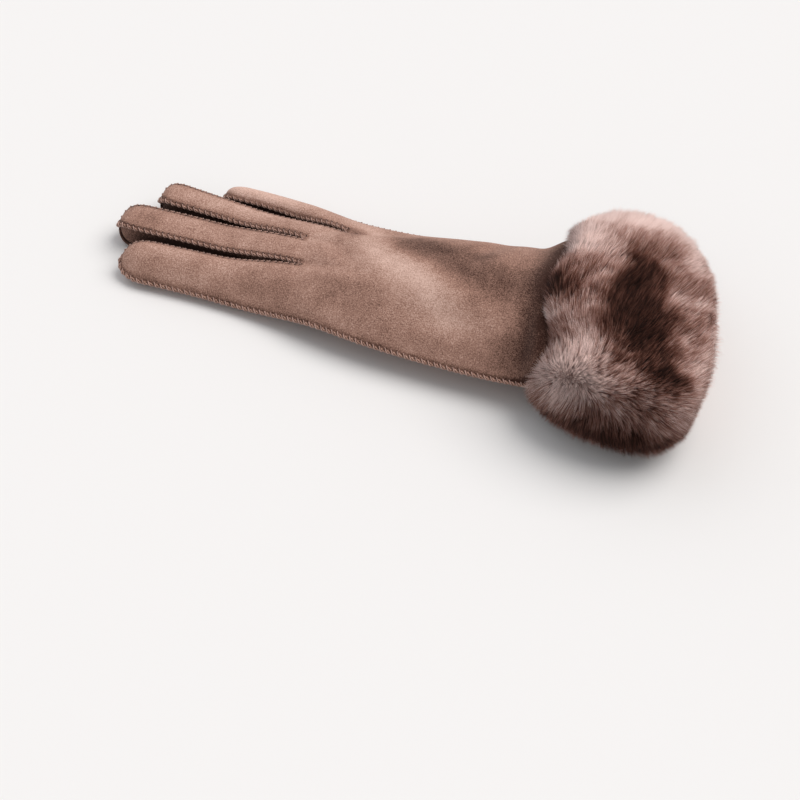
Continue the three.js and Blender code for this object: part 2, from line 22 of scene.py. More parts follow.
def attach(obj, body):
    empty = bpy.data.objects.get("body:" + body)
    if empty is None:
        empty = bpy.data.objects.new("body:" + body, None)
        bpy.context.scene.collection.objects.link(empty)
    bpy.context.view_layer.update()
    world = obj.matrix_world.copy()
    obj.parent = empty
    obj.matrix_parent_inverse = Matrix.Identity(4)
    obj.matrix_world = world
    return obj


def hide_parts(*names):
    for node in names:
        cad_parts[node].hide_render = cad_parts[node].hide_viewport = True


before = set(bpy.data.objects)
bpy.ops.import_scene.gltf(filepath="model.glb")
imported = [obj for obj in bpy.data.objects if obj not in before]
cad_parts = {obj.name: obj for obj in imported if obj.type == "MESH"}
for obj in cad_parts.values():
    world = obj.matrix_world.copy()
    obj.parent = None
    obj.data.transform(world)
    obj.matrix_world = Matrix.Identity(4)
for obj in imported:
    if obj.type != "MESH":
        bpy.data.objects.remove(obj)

log = logging.getLogger("glove")

Array = np.ndarray
Sockets = bpy.types.bpy_prop_collection
Adder = Callable[..., Node]  # add_node() of one tree
Rows = tuple[tuple[float, ...], ...]

MM = 0.001
BODY = "root"
PATTERN_SHIFT = np.array([-0.8930816650390625, 10.340150833129883, 0.0])  # to the frame's axes
UP = np.array([0.0, 0.0, 1.0])

SUEDE = 1.0  # thickness of every suede panel
SEAM_GAP = 0.35  # space between two panels that are sewn together
SEAM_STEP = (SUEDE + SEAM_GAP) / 2  # each panel's middle above or below its outseam
LIP_OUT = 0.6  # how far an outseam's two edges stand out sideways
LIP_IN = 0.35  # how far they are drawn together
LIP_THIN = 0.5  # the thickness of the pressed edges, as a share
SLIT_SEAM = 0.84  # a finger seam's size beside a slit, as a share of an outseam's
SLIT_SEAM_DROP = 0.1  # how far it lies below the panel's middle
SLIT_SEAM_IN = 0.4  # and how far inside the panel's edge
WALL_INSET = 0.9  # the fourchettes stand this far inside the finger seams
SLIT_HALF = 1.2  # half the width of a slit between two fingers, where it ends
SUEDE_END = -31.0  # the panels end at this place along the cuff
STITCH_SPACING = 3.15
STEPS_A_STITCH = 7  # a seam's line has this many points for each stitch
STITCH_SLANT = 3.4  # from a stitch's lower end to its upper one, along the seam

HAIR_VALUES = ("tone", "tuft", "lock", "chance", "along")  # what the fur's finish reads
# What every mesh has beside them
MESH_VALUES = ("position", ".edge_verts", ".corner_vert", ".corner_edge", "sharp_face")
VECTOR_MATHS = "ShaderNodeVectorMath"
VALUE_READER = "GeometryNodeInputNamedAttribute"


class Face(Enum):
    """The two big panels of the glove."""

    BACK = "back"
    PALM = "palm"


class Slot(Enum):
    """The material slots."""

    SUEDE = "suede"
    FUR = "fur"
    PALE_FUR = "pale_fur"


# Tables of the form


@dataclass(frozen=True)
class Table:
    """Rows of sizes along one direction, smooth from row to row. The first column is the place."""

    columns: tuple[str, ...]
    rows: Rows

    def at(self, column: str, place: Array | float) -> Array:
        """Reads one column.

        Args:
            column: the column's name.
            place: where to read it, one place or an array of them.

        Returns:
            The column's values there.
        """
        data = np.array(sorted(self.rows), float)
        keys, values = data[:, 0], data[:, self.columns.index(column)]
        slopes = np.diff(values) / np.diff(keys)
        tangents = np.concatenate([slopes[:1], (slopes[:-1] + slopes[1:]) / 2, slopes[-1:]])
        where = np.asarray(place, float)
        i = np.clip(np.searchsorted(keys, where) - 1, 0, len(keys) - 2)
        span = keys[i + 1] - keys[i]
        t = np.clip((where - keys[i]) / span, 0, 1)
        start = values[i] * (2 * t**3 - 3 * t**2 + 1) + tangents[i] * span * (t**3 - 2 * t**2 + t)
        end = values[i + 1] * (3 * t**2 - 2 * t**3) + tangents[i + 1] * span * (t**3 - t**2)
        return start + end


HAND = Table(
    ("x", "near_y", "far_y", "near_z", "far_z", "back_z", "palm_z"),
    (
        (-150, -37.4, 36.2, 5.0, 5.0, 15, 1.0),
        (-105, -37.4, 36.2, 5.0, 5.0, 16, 1.0),
        (-75, -38.0, 35.4, 5.8, 5.6, 20, 1.6),
        (-55, -41.0, 33.2, 9.0, 6.8, 25, 6.0),
        (-40, -44.0, 31.4, 12.0, 8.0, 29, 10.8),
        (-10, -48.6, 30.4, 13.2, 10.0, 34, 11.6),
        (20, -50.6, 31.6, 13.4, 12.8, 38, 11.6),
        (55, -52.0, 34.6, 15.0, 15.0, 42, 12.0),
        (85, -52.0, 36.0, 18.0, 18.0, 45, 12.6),
    ),
)
# Where each slit ends: x, y and the height of its seam
CROTCHES = ((-56.0, -15.4, 20.5), (-60.0, 1.6, 20.5), (-42.0, 13.0, 20.5))


@dataclass(frozen=True)
class Finger:
    """One finger of the two panels, with the edges half way along it and at its end."""

    name: str
    tip_x: float
    rounding: float
    near_y: float
    far_y: float
    end_near_y: float
    end_far_y: float
    seam_z: float
    crown: float
    root_crown: float  # the crown's height at the finger's root, as a share


FINGERS = (
    Finger("index", -145, 15, -37.4, -19.1, -38.4, -20.6, 15, 5, 1.0),
    Finger("middle", -155.5, 13, -13.8, 2.3, -14.6, 2, 15.5, 1.8, 1.0),
    Finger("ring", -142.5, 12, 7.2, 18.0, 9.0, 24, 15, 1.8, 1.0),
    Finger("little", -112.5, 11, 22.2, 35.6, 23.0, 36.4, 14, 6.2, 0.35),
)


@dataclass(frozen=True)
class Mark:
    """A soft oval mark on a surface: its middle, its direction in degrees, its half sizes and
    what it adds there."""

    x: float
    y: float
    angle: float
    along: float
    across: float
    amount: float

    def at(self, x: Array, y: Array) -> Array:
        """Gives what the mark adds at some places.

        Args:
            x: the places' x,
            y: and their y.

        Returns:
            What it adds at each.
        """
        turn = math.radians(self.angle)
        dx, dy = x - self.x, y - self.y
        along = (dx * math.cos(turn) + dy * math.sin(turn)) / self.along
        across = (dy * math.cos(turn) - dx * math.sin(turn)) / self.across
        return self.amount * np.exp(-(along**2) - across**2)


# Dents (above 0) and soft ridges (below 0) of the back
FOLDS = (
    Mark(-20, 18, 6, 20, 8, 4.0),
    Mark(8, -12, -28, 38, 9, -1.8),
    Mark(28, -37, -4, 30, 6, 2.6),
    Mark(-34, -34, -6, 20, 5.5, 1.8),
    Mark(-34, -10, -40, 14, 5, 1.6),
    Mark(34, 12, 64, 15, 6, 2.2),
    Mark(52, -16, 78, 22, 7, 1.4),
)

# The low uneven swell of the back: its stretch in x, y and z, its size, seed and height
SWELLS = (((0.7, 1, 0), 22, 3.7, 0.9), ((1, 0.8, 0), 9, 8.1, 0.22))

# Painted light and shade on the back: darker (below 0) where folds, the slits and the fur's edge
# shade it, lighter (above 0) on the lit ridges
PAINTED_LIGHT = (
    Mark(-28, 10, -58, 22, 8, 0.34),
    Mark(3, -19, -28, 27, 9, 0.42),
    Mark(28, -39, -8, 16, 5, 0.14),
    Mark(-54, 4, -30, 13, 10, 0.14),
    Mark(9, 4, -10, 21, 8, -0.3),
    Mark(33, 3, 0, 6, 5, -0.16),
    Mark(22, -11, -20, 26, 9, -0.3),
    Mark(-8, 0, -20, 12, 6, -0.24),
    Mark(-35, 11, -15, 7, 6, -0.46),
    Mark(34, 10, 0, 20, 9, -0.05),
    Mark(47, -12, -10, 20, 11, -0.24),
    Mark(32, -45, -4, 36, 5, -0.12),
    Mark(-32, -32, -8, 22, 7, -0.12),
    Mark(-64, -33, -10, 20, 7, -0.14),
    Mark(69, -10, 90, 62, 11, -0.42),
    Mark(69, 6, 90, 18, 10, -0.18),
    Mark(58, -43, 20, 14, 7, -0.16),
    Mark(-46, -33, 0, 8, 6, 0.14),
    Mark(80, -32, 80, 22, 8, -0.32),
    Mark(-104, -27, 60, 7, 4, -0.16),
    Mark(-126, -33, 10, 14, 5, -0.12),
    Mark(-82, -33, 10, 16, 6, -0.08),
    Mark(-108, -28, 0, 38, 12, 0.12),
    Mark(-138, -6, 60, 5, 5, -0.18),
    Mark(-100, 14, 0, 26, 5, 0.2),
    Mark(-90, 28, 0, 32, 9, 0.36),
)
# Painted shade in the groove along the line of the stitches: how much darker, and how far in
GROOVE_SHADE, GROOVE_IN, GROOVE_HALF = -0.38, 0.9, 0.9

CUFF_X, CUFF_Y, CUFF_TURN = 110.0, -12.0, math.radians(10)
CUFF_ROUNDNESS = 2.5
CUFF_ALONG = np.array([math.cos(CUFF_TURN), math.sin(CUFF_TURN), 0.0])
CUFF_ACROSS = np.array([-CUFF_ALONG[1], CUFF_ALONG[0], 0.0])
FUR = Table(
    ("u", "half", "shift", "low", "wide", "high", "root"),
    (
        (-41, 49, 9.6, 7, 18.5, 50, 2.4),
        (-37, 54, 8.4, 2, 20, 54.5, 4.6),
        (-28, 60, 6.5, -4, 22, 58.5, 6.4),
        (-12, 66, 4, -8, 25, 60, 7.0),
        (6, 68, 1, -8, 26, 60, 7.0),
        (20, 66, -2, -7, 26, 58.5, 6.8),
        (30, 60, -3, -4, 26, 55, 6.2),
        (37, 50, -2, 2, 26, 50, 3.4),
    ),
)
HOLLOW = Table(
    ("u", "half", "shift", "low", "wide", "high"),
    (
        (-41, 45.5, 10, 10.6, 18.5, 46.2),
        (-30, 45.6, 8.6, 9.8, 20, 46.4),
        (-6, 46.6, 5, 9, 23, 46),
        (18, 46, 0, 9, 25, 45.5),
        (37, 43, -2, 9.4, 26, 43.5),
    ),
)
HOLLOW_ENTRY, HOLLOW_MOUTH = -41.0, 37.0
FUR_START, FUR_END = -41.0, 41.6  # how far the hair's tips reach towards the hand and the mouth
ROOT_MARGIN = 4.6  # from there to the last roots at the mouth
# By the angle round the cuff in degrees, 0 at the near side and 90 on top
FAR_TRIM = 7.5  # the fur starts this much further back on the far side,
FAR_FROM, FAR_TO = (82, 26), (200, 60)  # which begins and ends here, over so many degrees
START_WAVES = (Mark(46, 0, 0, 21, 1, 6.5), Mark(4, 0, 0, 9, 1, -1.2))
MOUTH_PEAK = 66.0  # the mouth's rim is furthest out here,
MOUTH_NEAR, MOUTH_FAR = 6.0, 11.0  # and lies this far back on the near and the far side,
MOUTH_NEAR_MOST = 1.15  # at the most this share of it,
MOUTH_FAR_ARC = 75.0  # which the far side reaches after so many degrees
UNDERSIDE, UNDERSIDE_BLEND = 235.0, 45.0  # both sides meet here, and how softly
# The pale fur turned in at the mouth: places along the cuff and depths inside the hollow
FACING = (
    (0, 0.6),
    (18, 0.35),
    (37, 0.35),
    (39.4, -2.2),
    (41.2, 0.8),
    (40.2, 4.4),
    (34, 6.4),
    (18, 5.4),
    (3, 4.4),
)

# The hair's colours by its tone
FUR_TONES = (
    (0.0, "#170703"),
    (0.25, "#4a261b"),
    (0.5, "#946759"),
    (0.75, "#c9a59b"),
    (1.0, "#fbe2db"),
)
# The patches of the cuff's hair: name, first and last angle, count of hairs and seed
FUR_PATCHES = (
    ("fur_near", -20, 30, 33000, 21),
    ("fur_whorl", 30, 72, 33000, 22),
    ("fur_top", 72, 112, 31000, 23),
    ("fur_far_top", 112, 150, 24000, 24),
    ("fur_far", 150, 215, 26000, 25),
    ("fur_under", 215, 340, 15000, 26),
)

THUMB_ROOT, THUMB_TIP = np.array([42.0, -28.0, 0.0]), np.array([-42.0, -17.5, 0.0])
THUMB_HALF, THUMB_LOW, THUMB_HIGH = 12.0, 0.6, 9.6
THUMB_ROWS = Table(
    ("along", "wide", "tall"),
    (
        (0.0, 0.35, 0.3),
        (0.04, 0.72, 0.75),
        (0.14, 0.98, 1.0),
        (0.45, 1.0, 1.0),
        (0.75, 0.88, 1.0),
        (0.9, 0.76, 0.94),
        (0.97, 0.5, 0.66),
        (1.0, 0.2, 0.26),
    ),
)


# Small helpers


def placed(points: Array) -> Array:
    """Moves pattern points into the frame, in metres."""
    return (np.asarray(points, float) + PATTERN_SHIFT) * MM


def lerp(a: Array | float, b: Array | float, t: Array | float) -> Array:
    """Gives what lies between a and b at the share t."""
    return np.asarray(a) * (1 - t) + np.asarray(b) * t


def ease(t: Array | float) -> Array:
    """Turns a share into one that starts and ends slowly."""
    t = np.clip(t, 0, 1)
    return t * t * (3 - 2 * t)


def dome(w: Array, power: float) -> Array:
    """Gives 0 at both edges of a width and about 1 between them."""
    return 1 - np.abs(2 * w - 1) ** power


def signed_power(value: Array, power: float) -> Array:
    """Raises to a power and keeps the sign."""
    return np.sign(value) * np.abs(value) ** power


def through(start: float, middle: float, end: float, t: Array) -> Array:
    """Gives the curve through three values at 0, 1/2 and 1."""
    return start * (1 - t) * (1 - 2 * t) + middle * 4 * t * (1 - t) + end * t * (2 * t - 1)


def unit(vectors: Array) -> Array:
    """Scales vectors to length 1."""
    return vectors / np.maximum(np.linalg.norm(vectors, axis=-1, keepdims=True), 1e-12)


def stacked(x: Array, y: Array, z: Array) -> Array:
    """Joins three arrays of coordinates into points."""
    return np.stack(np.broadcast_arrays(x, y, z), -1).astype(float)


def roughness_of(points: Array, size: float, seed: float) -> Array:
    """Smooth random values from about -1 to 1.

    Args:
        points: where to read them, in millimetres.
        size: how far apart they change.
        seed: a shift that gives another pattern.

    Returns:
        One value for each point.
    """
    flat = points.reshape(-1, 3) / size + seed
    values = [noise.noise(Vector(p)) for p in flat]
    return np.array(values).reshape(points.shape[:-1])


def roughness_sum(points: Array, patterns: Rows) -> Array:
    """Adds up smooth random values, given as the size, the seed and the height of each pattern."""
    return sum(height * roughness_of(points, size, seed) for size, seed, height in patterns)


def linear(code: str) -> tuple[float, float, float, float]:
    """Turns a colour into the numbers that a shader takes.

    Args:
        code: an sRGB hex value.

    Returns:
        The linear colour.
    """
    parts = [int(code[i : i + 2], 16) / 255 for i in (1, 3, 5)]
    flat = [c / 12.92 if c <= 0.04045 else ((c + 0.055) / 1.055) ** 2.4 for c in parts]
    return (*flat, 1.0)


def pin(sockets: Sockets, key: str | int) -> NodeSocket:
    """Finds a socket in use by its name or its index."""
    used = [socket for socket in sockets if socket.enabled]
    return used[key] if isinstance(key, int) else next(s for s in used if s.name == key)


def fill(node: Node, inputs: dict) -> None:
    """Sets and links a node's inputs.

    Args:
        node: the node.
        inputs: for each input a value, an output socket, a node (for its first output), or a
            node and the name of its output.
    """
    for key, value in inputs.items():
        socket = pin(node.inputs, key)
        if isinstance(value, Node):
            value = (value, 0)
        if isinstance(value, tuple) and isinstance(value[0], Node):
            value = pin(value[0].outputs, value[1])
        if isinstance(value, NodeSocket):
            node.id_data.links.new(value, socket)
        else:
            socket.default_value = value


def add_node(tree: NodeTree, kind: str, inputs: dict | None = None, **settings: object) -> Node:
    """Adds one node with its settings and its links.

    Args:
        tree: the tree that gets it.
        kind: the node's type.
        inputs: what its inputs get, as in fill().
        **settings: the node's own settings.

    Returns:
        The node.
    """
    made = tree.nodes.new(kind)
    for name, value in settings.items():
        setattr(made, name, value)
    fill(made, inputs or {})
    return made


def new_finish(name: str) -> tuple[Material, Adder, Node]:
    """Makes a plain finish.

    Args:
        name: its name.

    Returns:
        The finish, what adds a node to it, and its shader.
    """
    material = bpy.data.materials.new(name)
    material.use_nodes = True
    tree = material.node_tree
    return material, partial(add_node, tree), tree.nodes["Principled BSDF"]


def set_stops(ramp: Node, stops: list[tuple[float, tuple[float, ...]]]) -> None:
    """Sets a ramp's colours.

    Args:
        ramp: the ramp's node.
        stops: its places, which rise, and their linear colours.
    """
    elements = ramp.color_ramp.elements
    for element, (place, colour) in ((elements[0], stops[0]), (elements[1], stops[-1])):
        element.position, element.color = place, colour
    for place, colour in stops[1:-1]:
        elements.new(place).color = colour


def new_tree(name: str, inputs: dict[str, str], output: str) -> tuple[NodeTree, Adder, Sockets]:
    """Starts a Geometry Nodes tree.

    Args:
        name: the tree's name.
        inputs: the name and the kind of each input.
        output: the name of the mesh that it makes.

    Returns:
        The tree, what adds a node to it, and its inputs.
    """
    tree = bpy.data.node_groups.new(name, "GeometryNodeTree")
    for key, kind in inputs.items():
        tree.interface.new_socket(key, in_out="INPUT", socket_type=f"NodeSocket{kind}")
    tree.interface.new_socket(output, in_out="OUTPUT", socket_type="NodeSocketGeometry")
    return tree, partial(add_node, tree), add_node(tree, "NodeGroupInput").outputs


def end_tree(add: Adder, last: Node, finish: Material) -> None:
    """Ends a tree: what it makes becomes plain mesh and gets its finish.

    Args:
        add: adds a node to the tree.
        last: the node whose first output is made so far.
        finish: the finish.
    """
    real = add("GeometryNodeRealizeInstances", {"Geometry": last})
    painted = add("GeometryNodeSetMaterial", {"Geometry": real, "Material": finish})
    add("NodeGroupOutput", {0: painted})


# Meshes


def quads(index: Array) -> Array:
    """Joins a grid of points' indices into four-sided faces."""
    faces = np.stack([index[:-1, :-1], index[:-1, 1:], index[1:, 1:], index[1:, :-1]], -1)
    return faces.reshape(-1, 4)


@dataclass
class Sheet:
    """A surface of points and four-sided faces, which can be thickened into a closed shell."""

    points: Array
    faces: Array

    @staticmethod
    def grid(rows: Array, closed: bool = False, looped: bool = False) -> "Sheet":
        """Makes a sheet of rows of points.

        Args:
            rows: points by row and place along the row.
            closed: whether each row joins up with itself.
            looped: whether the last row joins up with the first.

        Returns:
            The sheet.
        """
        index = np.arange(rows[..., 0].size).reshape(rows.shape[:2])
        if closed:
            index = np.concatenate([index, index[:, :1]], 1)
        if looped:
            index = np.concatenate([index, index[:1]])
        return Sheet(rows.reshape(-1, 3), quads(index))

    def flipped(self) -> "Sheet":
        """Turns every face over, with its diagonal where it was."""
        return Sheet(self.points, self.faces[:, [0, 3, 2, 1]])

    def turned(self) -> Array:
        """Gives each face's normal, as long as twice the face's area."""
        corners = self.points[self.faces]
        return np.cross(corners[:, 2] - corners[:, 0], corners[:, 3] - corners[:, 1])

    def area(self) -> float:
        """Gives the area in square millimetres."""
        return float(np.linalg.norm(self.turned(), axis=1).sum() / 2)

    def normals(self) -> Array:
        """Averages the directions of the faces round each point.

        Returns:
            The unit normals.
        """
        flat = unit(self.turned())
        total = np.zeros_like(self.points)
        for k in range(4):
            np.add.at(total, self.faces[:, k], flat)
        return unit(total)

    def thickened(self, thickness: float | Array) -> "Sheet":
        """Thickens the sheet.

        Args:
            thickness: one for all points, or one for each.

        Returns:
            The closed shell round the sheet.
        """
        count = len(self.points)
        offset = self.normals() * np.broadcast_to(thickness, count)[:, None] / 2
        ends: dict[tuple[int, int], bool] = {}
        for face in self.faces.tolist():
            for a, b in zip(face, face[1:] + face[:1]):
                if ends.pop((b, a), None) is None:
                    ends[(a, b)] = True
        rim = [(a, a + count, b + count, b) for a, b in ends]
        points = np.concatenate([self.points + offset, self.points - offset])
        return Sheet(points, np.concatenate([self.faces, self.faces[:, ::-1] + count, rim]))


def capped_tube(rows: Array) -> tuple[Array, list[list[int]]]:
    """Makes a tube of rings, each end closed by a fan of faces round its middle.

    Args:
        rows: points by ring and place round it.

    Returns:
        The points, with the two ends' middles last, and the faces.
    """
    body = Sheet.grid(rows[:, ::-1], closed=True).flipped()
    count, around = len(body.points), rows.shape[1]
    faces = body.faces.tolist()
    for first, middle, turn in ((0, count, 1), (count - around, count + 1, -1)):
        ring = list(range(first, first + around))
        faces += [[a, b, middle][::turn] for a, b in zip(ring, ring[1:] + ring[:1])]
    return np.concatenate([body.points, rows[:1].mean(1), rows[-1:].mean(1)]), faces


def linked(name: str, data: bpy.types.ID) -> Object:
    """Makes an object at the origin.

    Args:
        name: its name.
        data: its mesh, lamp or camera.

    Returns:
        The object, linked to the scene.
    """
    made = bpy.data.objects.new(name, data)
    bpy.context.scene.collection.objects.link(made)
    return made


def mesh_object(
    name: str,
    points: Array,
    faces: Array | list[list[int]],
    values: dict[str, Array],
) -> Object:
    """Makes a mesh object at the origin.

    Args:
        name: the object's name.
        points: its points in the pattern's axes.
        faces: the points of each face.
        values: named numbers or vectors, one for each point.

    Returns:
        The object, linked to the scene.
    """
    mesh = bpy.data.meshes.new(name)
    faces = faces.tolist() if isinstance(faces, Array) else faces
    mesh.from_pydata(placed(points).tolist(), [], faces)
    for key, array in values.items():
        kind, field = ("FLOAT_VECTOR", "vector") if array.ndim > 1 else ("FLOAT", "value")
        attribute = mesh.attributes.new(key, kind, "POINT")
        attribute.data.foreach_set(field, np.ascontiguousarray(array, np.float32).ravel())
    mesh.shade_smooth()
    return linked(name, mesh)


def grown(
    source: Object,
    tree: NodeTree,
    sizes: dict[str, float],
    name: str,
    keep: tuple[str, ...] = (),
) -> Object:
    """Runs Geometry Nodes on an object and puts the plain mesh that they make in its place.

    Args:
        source: the object that the tree starts from.
        tree: the tree.
        sizes: the values of its named inputs.
        name: the new object's name.
        keep: the named values that the new object's finish reads.

    Returns:
        The new object.
    """
    modifier = source.modifiers.new("grow", "NODES")
    modifier.node_group = tree
    for item in tree.interface.items_tree:
        if item.name in sizes:
            modifier[item.identifier] = sizes[item.name]
    graph = bpy.context.evaluated_depsgraph_get()
    mesh = bpy.data.meshes.new_from_object(source.evaluated_get(graph))
    mesh.name = name
    # an empty first slot comes from the source, which has no finish
    while len(mesh.materials) > 1 and mesh.materials[0] is None:
        mesh.materials.pop(index=0)
    for key in [a.name for a in mesh.attributes if a.name not in MESH_VALUES + keep]:
        attribute = mesh.attributes.get(key)
        if attribute is not None and not attribute.is_required:
            mesh.attributes.remove(attribute)
    bpy.data.objects.remove(source)
    mesh.shade_smooth()
    return linked(name, mesh)


def soften(piece: Object) -> None:
    """Rounds a piece by one step of subdivision."""
    smooth = piece.modifiers.new("smooth", "SUBSURF")
    smooth.levels = smooth.render_levels = 1


def dress(
    piece: Object,
    nodes: tuple[str, ...] = (),
    finish: Material | None = None,
) -> Object:
    """Sets what a finished piece rides on, stands for and is made of.

    Args:
        piece: the finished piece.
        nodes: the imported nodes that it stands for.
        finish: its finish, if it has none yet.

    Returns:
        The piece.
    """
    if finish is not None:
        piece.data.materials.append(finish)
    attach(piece, BODY)
    if nodes:
        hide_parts(*nodes)
    log.info("%s: %d faces", piece.name, len(piece.data.polygons))
    return piece


# Finishes


@dataclass(frozen=True)
class Suede:
    """Suede: split leather whose brushed nap makes it matte, mottled and a little lighter where
    it turns away from the eye."""

    name: str
    dark: str
    middle: str
    light: str
    # clouds, brushing and nap: the size in millimetres, the detail and the weight of each
    patterns: Rows = ((32, 3, 0.3), (7, 4, 0.36), (0.6, 4, 1.5))
    relief_mm: float = 0.3
    darkest_shade: float = -0.6  # where the painted shade is as dark as this,
    calm: float = 0.6  # only this share of its grain shows

    def build(self) -> Material:
        """Builds the finish.

        Returns:
            A material that reads the value `shade`, the painted light and shade of the panel.
        """
        material, add, shader = new_finish(self.name)
        place = (add("ShaderNodeTexCoord"), "Object")
        shade = (add("ShaderNodeAttribute", attribute_name="shade"), "Fac")
        grain = 0.0
        for size, detail, weight in self.patterns:
            sizes = {"Vector": place, "Scale": 1 / (size * MM), "Detail": detail, "Roughness": 0.6}
            pattern = add("ShaderNodeTexNoise", sizes)
            centred = add("ShaderNodeMath", {0: pattern, 1: 0.5}, operation="SUBTRACT")
            grain = {0: centred, 1: weight, 2: grain}
            grain = add("ShaderNodeMath", grain, operation="MULTIPLY_ADD")
        limits = {"Value": shade, "From Min": self.darkest_shade, "From Max": 0.0, "To Min": self.calm}
        calm = add("ShaderNodeMapRange", limits)
        total = {0: grain, 1: calm, 2: shade}
        total = add("ShaderNodeMath", total, operation="MULTIPLY_ADD")
        total = add("ShaderNodeMath", {0: total, 1: 0.5}, operation="ADD")
        ramp = add("ShaderNodeValToRGB", {"Fac": total})
        stops = zip((0.0, 0.5, 1.0), (self.dark, self.middle, self.light))
        set_stops(ramp, [(stop, linear(code)) for stop, code in stops])
        nap = {"Strength": 1.0, "Distance": self.relief_mm * MM, "Height": pattern}
        looks = {
            "Base Color": ramp,
            "Normal": add("ShaderNodeBump", nap),
            "Roughness": 0.95,
            "Specular IOR Level": 0.15,
            "Sheen Weight": 0.12,
            "Sheen Roughness": 0.6,
            "Sheen Tint": linear("#f0d8cc"),
        }
        fill(shader, looks)
        return material


@dataclass(frozen=True)
class WaxedThread:
    """Waxed thread in the suede's own colour: a smoother strand that catches a little light."""

    name: str
    colour: str
    wear_mm: float = 1.6  # the size of its darker and lighter places
    darker: float = 0.72  # and how dark
    lighter: float = 1.2  # and how light they are, as a share

    def build(self) -> Material:
        """Builds the finish, with a slow change of tone along the seams.

        Returns:
            The material.
        """
        material, add, shader = new_finish(self.name)
        place = (add("ShaderNodeTexCoord"), "Object")
        sizes = {"Vector": place, "Scale": 1 / (self.wear_mm * MM), "Detail": 2.0}
        wear = add("ShaderNodeTexNoise", sizes)
        ramp = add("ShaderNodeValToRGB", {"Fac": wear})
        base = linear(self.colour)[:3]
        shares = ((0.3, self.darker), (0.7, self.lighter))
        set_stops(ramp, [(stop, (*[c * share for c in base], 1.0)) for stop, share in shares])
        fill(shader, {"Base Color": ramp, "Roughness": 0.75, "Specular IOR Level": 0.3})
        return material


@dataclass(frozen=True)
class DyedFur:
    """Dyed sheared fur: soft fine hair from near black through taupe to pale pink, darker and
    duller towards the skin and paler at the tips."""

    name: str
    tones: tuple[tuple[float, str], ...]
    root_share: float = 0.42  # how much of its colour the hair keeps near the skin
    # how much a hair's tuft, its lock, being one of the few pale hairs, and its tip add
    weights: tuple[tuple[str, float], ...] = (
        ("tuft", 0.14),
        ("lock", 0.2),
        ("few", 0.52),
        ("along", 0.18),
    )
    usual: float = 0.42  # what they add together on a usual hair, which is taken off again

    def build(self) -> Material:
        """Builds the finish.

        Returns:
            A material that reads HAIR_VALUES. Few hairs are much paler than their lock.
        """
        material, add, shader = new_finish(self.name)
        read = {
            key: (add("ShaderNodeAttribute", attribute_name=key), "Fac")
            for key in HAIR_VALUES
        }
        few = {0: read["chance"], 1: 3.0}
        read["few"] = add("ShaderNodeMath", few, operation="POWER")
        total = read["tone"]
        for key, weight in self.weights:
            total = {0: read[key], 1: weight, 2: total}
            total = add("ShaderNodeMath", total, operation="MULTIPLY_ADD")
        total = add("ShaderNodeMath", {0: total, 1: self.usual}, operation="SUBTRACT")
        ramp = add("ShaderNodeValToRGB", {"Fac": total})
        set_stops(ramp, [(place, linear(code)) for place, code in self.tones])
        depth = {"Value": read["along"], "From Min": 0.1, "From Max": 0.7}
        depth = add("ShaderNodeMapRange", depth | {"To Min": self.root_share})
        colour = {0: ramp, "Scale": depth}
        looks = {
            "Base Color": add(VECTOR_MATHS, colour, operation="SCALE"),
            "Roughness": 0.7,
            "Specular IOR Level": 0.12,
            "Sheen Weight": 0.03,
            "Sheen Roughness": 0.4,
            "Sheen Tint": linear("#f4e6e2"),
        }
        fill(shader, looks)
        return material


@dataclass(frozen=True)
class MattePaper:
    """Matte paper board under the glove: pale, even and without gloss."""

    name: str
    colour: str

    def build(self) -> Material:
        """Builds the finish, which has one even tone.

        Returns:
            The material.
        """
        material, _, shader = new_finish(self.name)
        looks = {"Base Color": linear(self.colour), "Roughness": 1.0, "Specular IOR Level": 0.0}
        fill(shader, looks)
        return material


# The cuff's own form


def cuff_point(u: Array, v: Array, z: Array) -> Array:
    """Gives points in the pattern's axes from the cuff's own.

    Args:
        u: places along the cuff,
        v: across it,
        z: and their heights.

    Returns:
        The points.
    """
    base = np.array([CUFF_X, CUFF_Y, 0.0])
    u, v, z = np.broadcast_arrays(u, v, z)
    return base + u[..., None] * CUFF_ALONG + v[..., None] * CUFF_ACROSS + z[..., None] * UP


def section_point(
    table: Table,
    u: Array,
    inset: Array,
    angle: Array,
    form_u: Array | None = None,
) -> Array:
    """Gives a point of the cuff's rounded section.

    Args:
        table: the fur's or the hollow's sizes.
        u: places along the cuff.
        inset: depths inside the table's form.
        angle: 0 on the far side, a quarter turn on top.
        form_u: where the table is read, if not at u.

    Returns:
        The points.
    """
    power = 2 / CUFF_ROUNDNESS
    read_u = u if form_u is None else form_u
    wide = table.at("wide", read_u)
    above = table.at("high", read_u) - wide - inset
    below = wide - table.at("low", read_u) - inset
    height = np.where(np.sin(angle) > 0, above, below)
    half = table.at("half", read_u) - inset
    v = table.at("shift", read_u) + half * signed_power(np.cos(angle), power)
    return cuff_point(u, v, wide + height * signed_power(np.sin(angle), power))


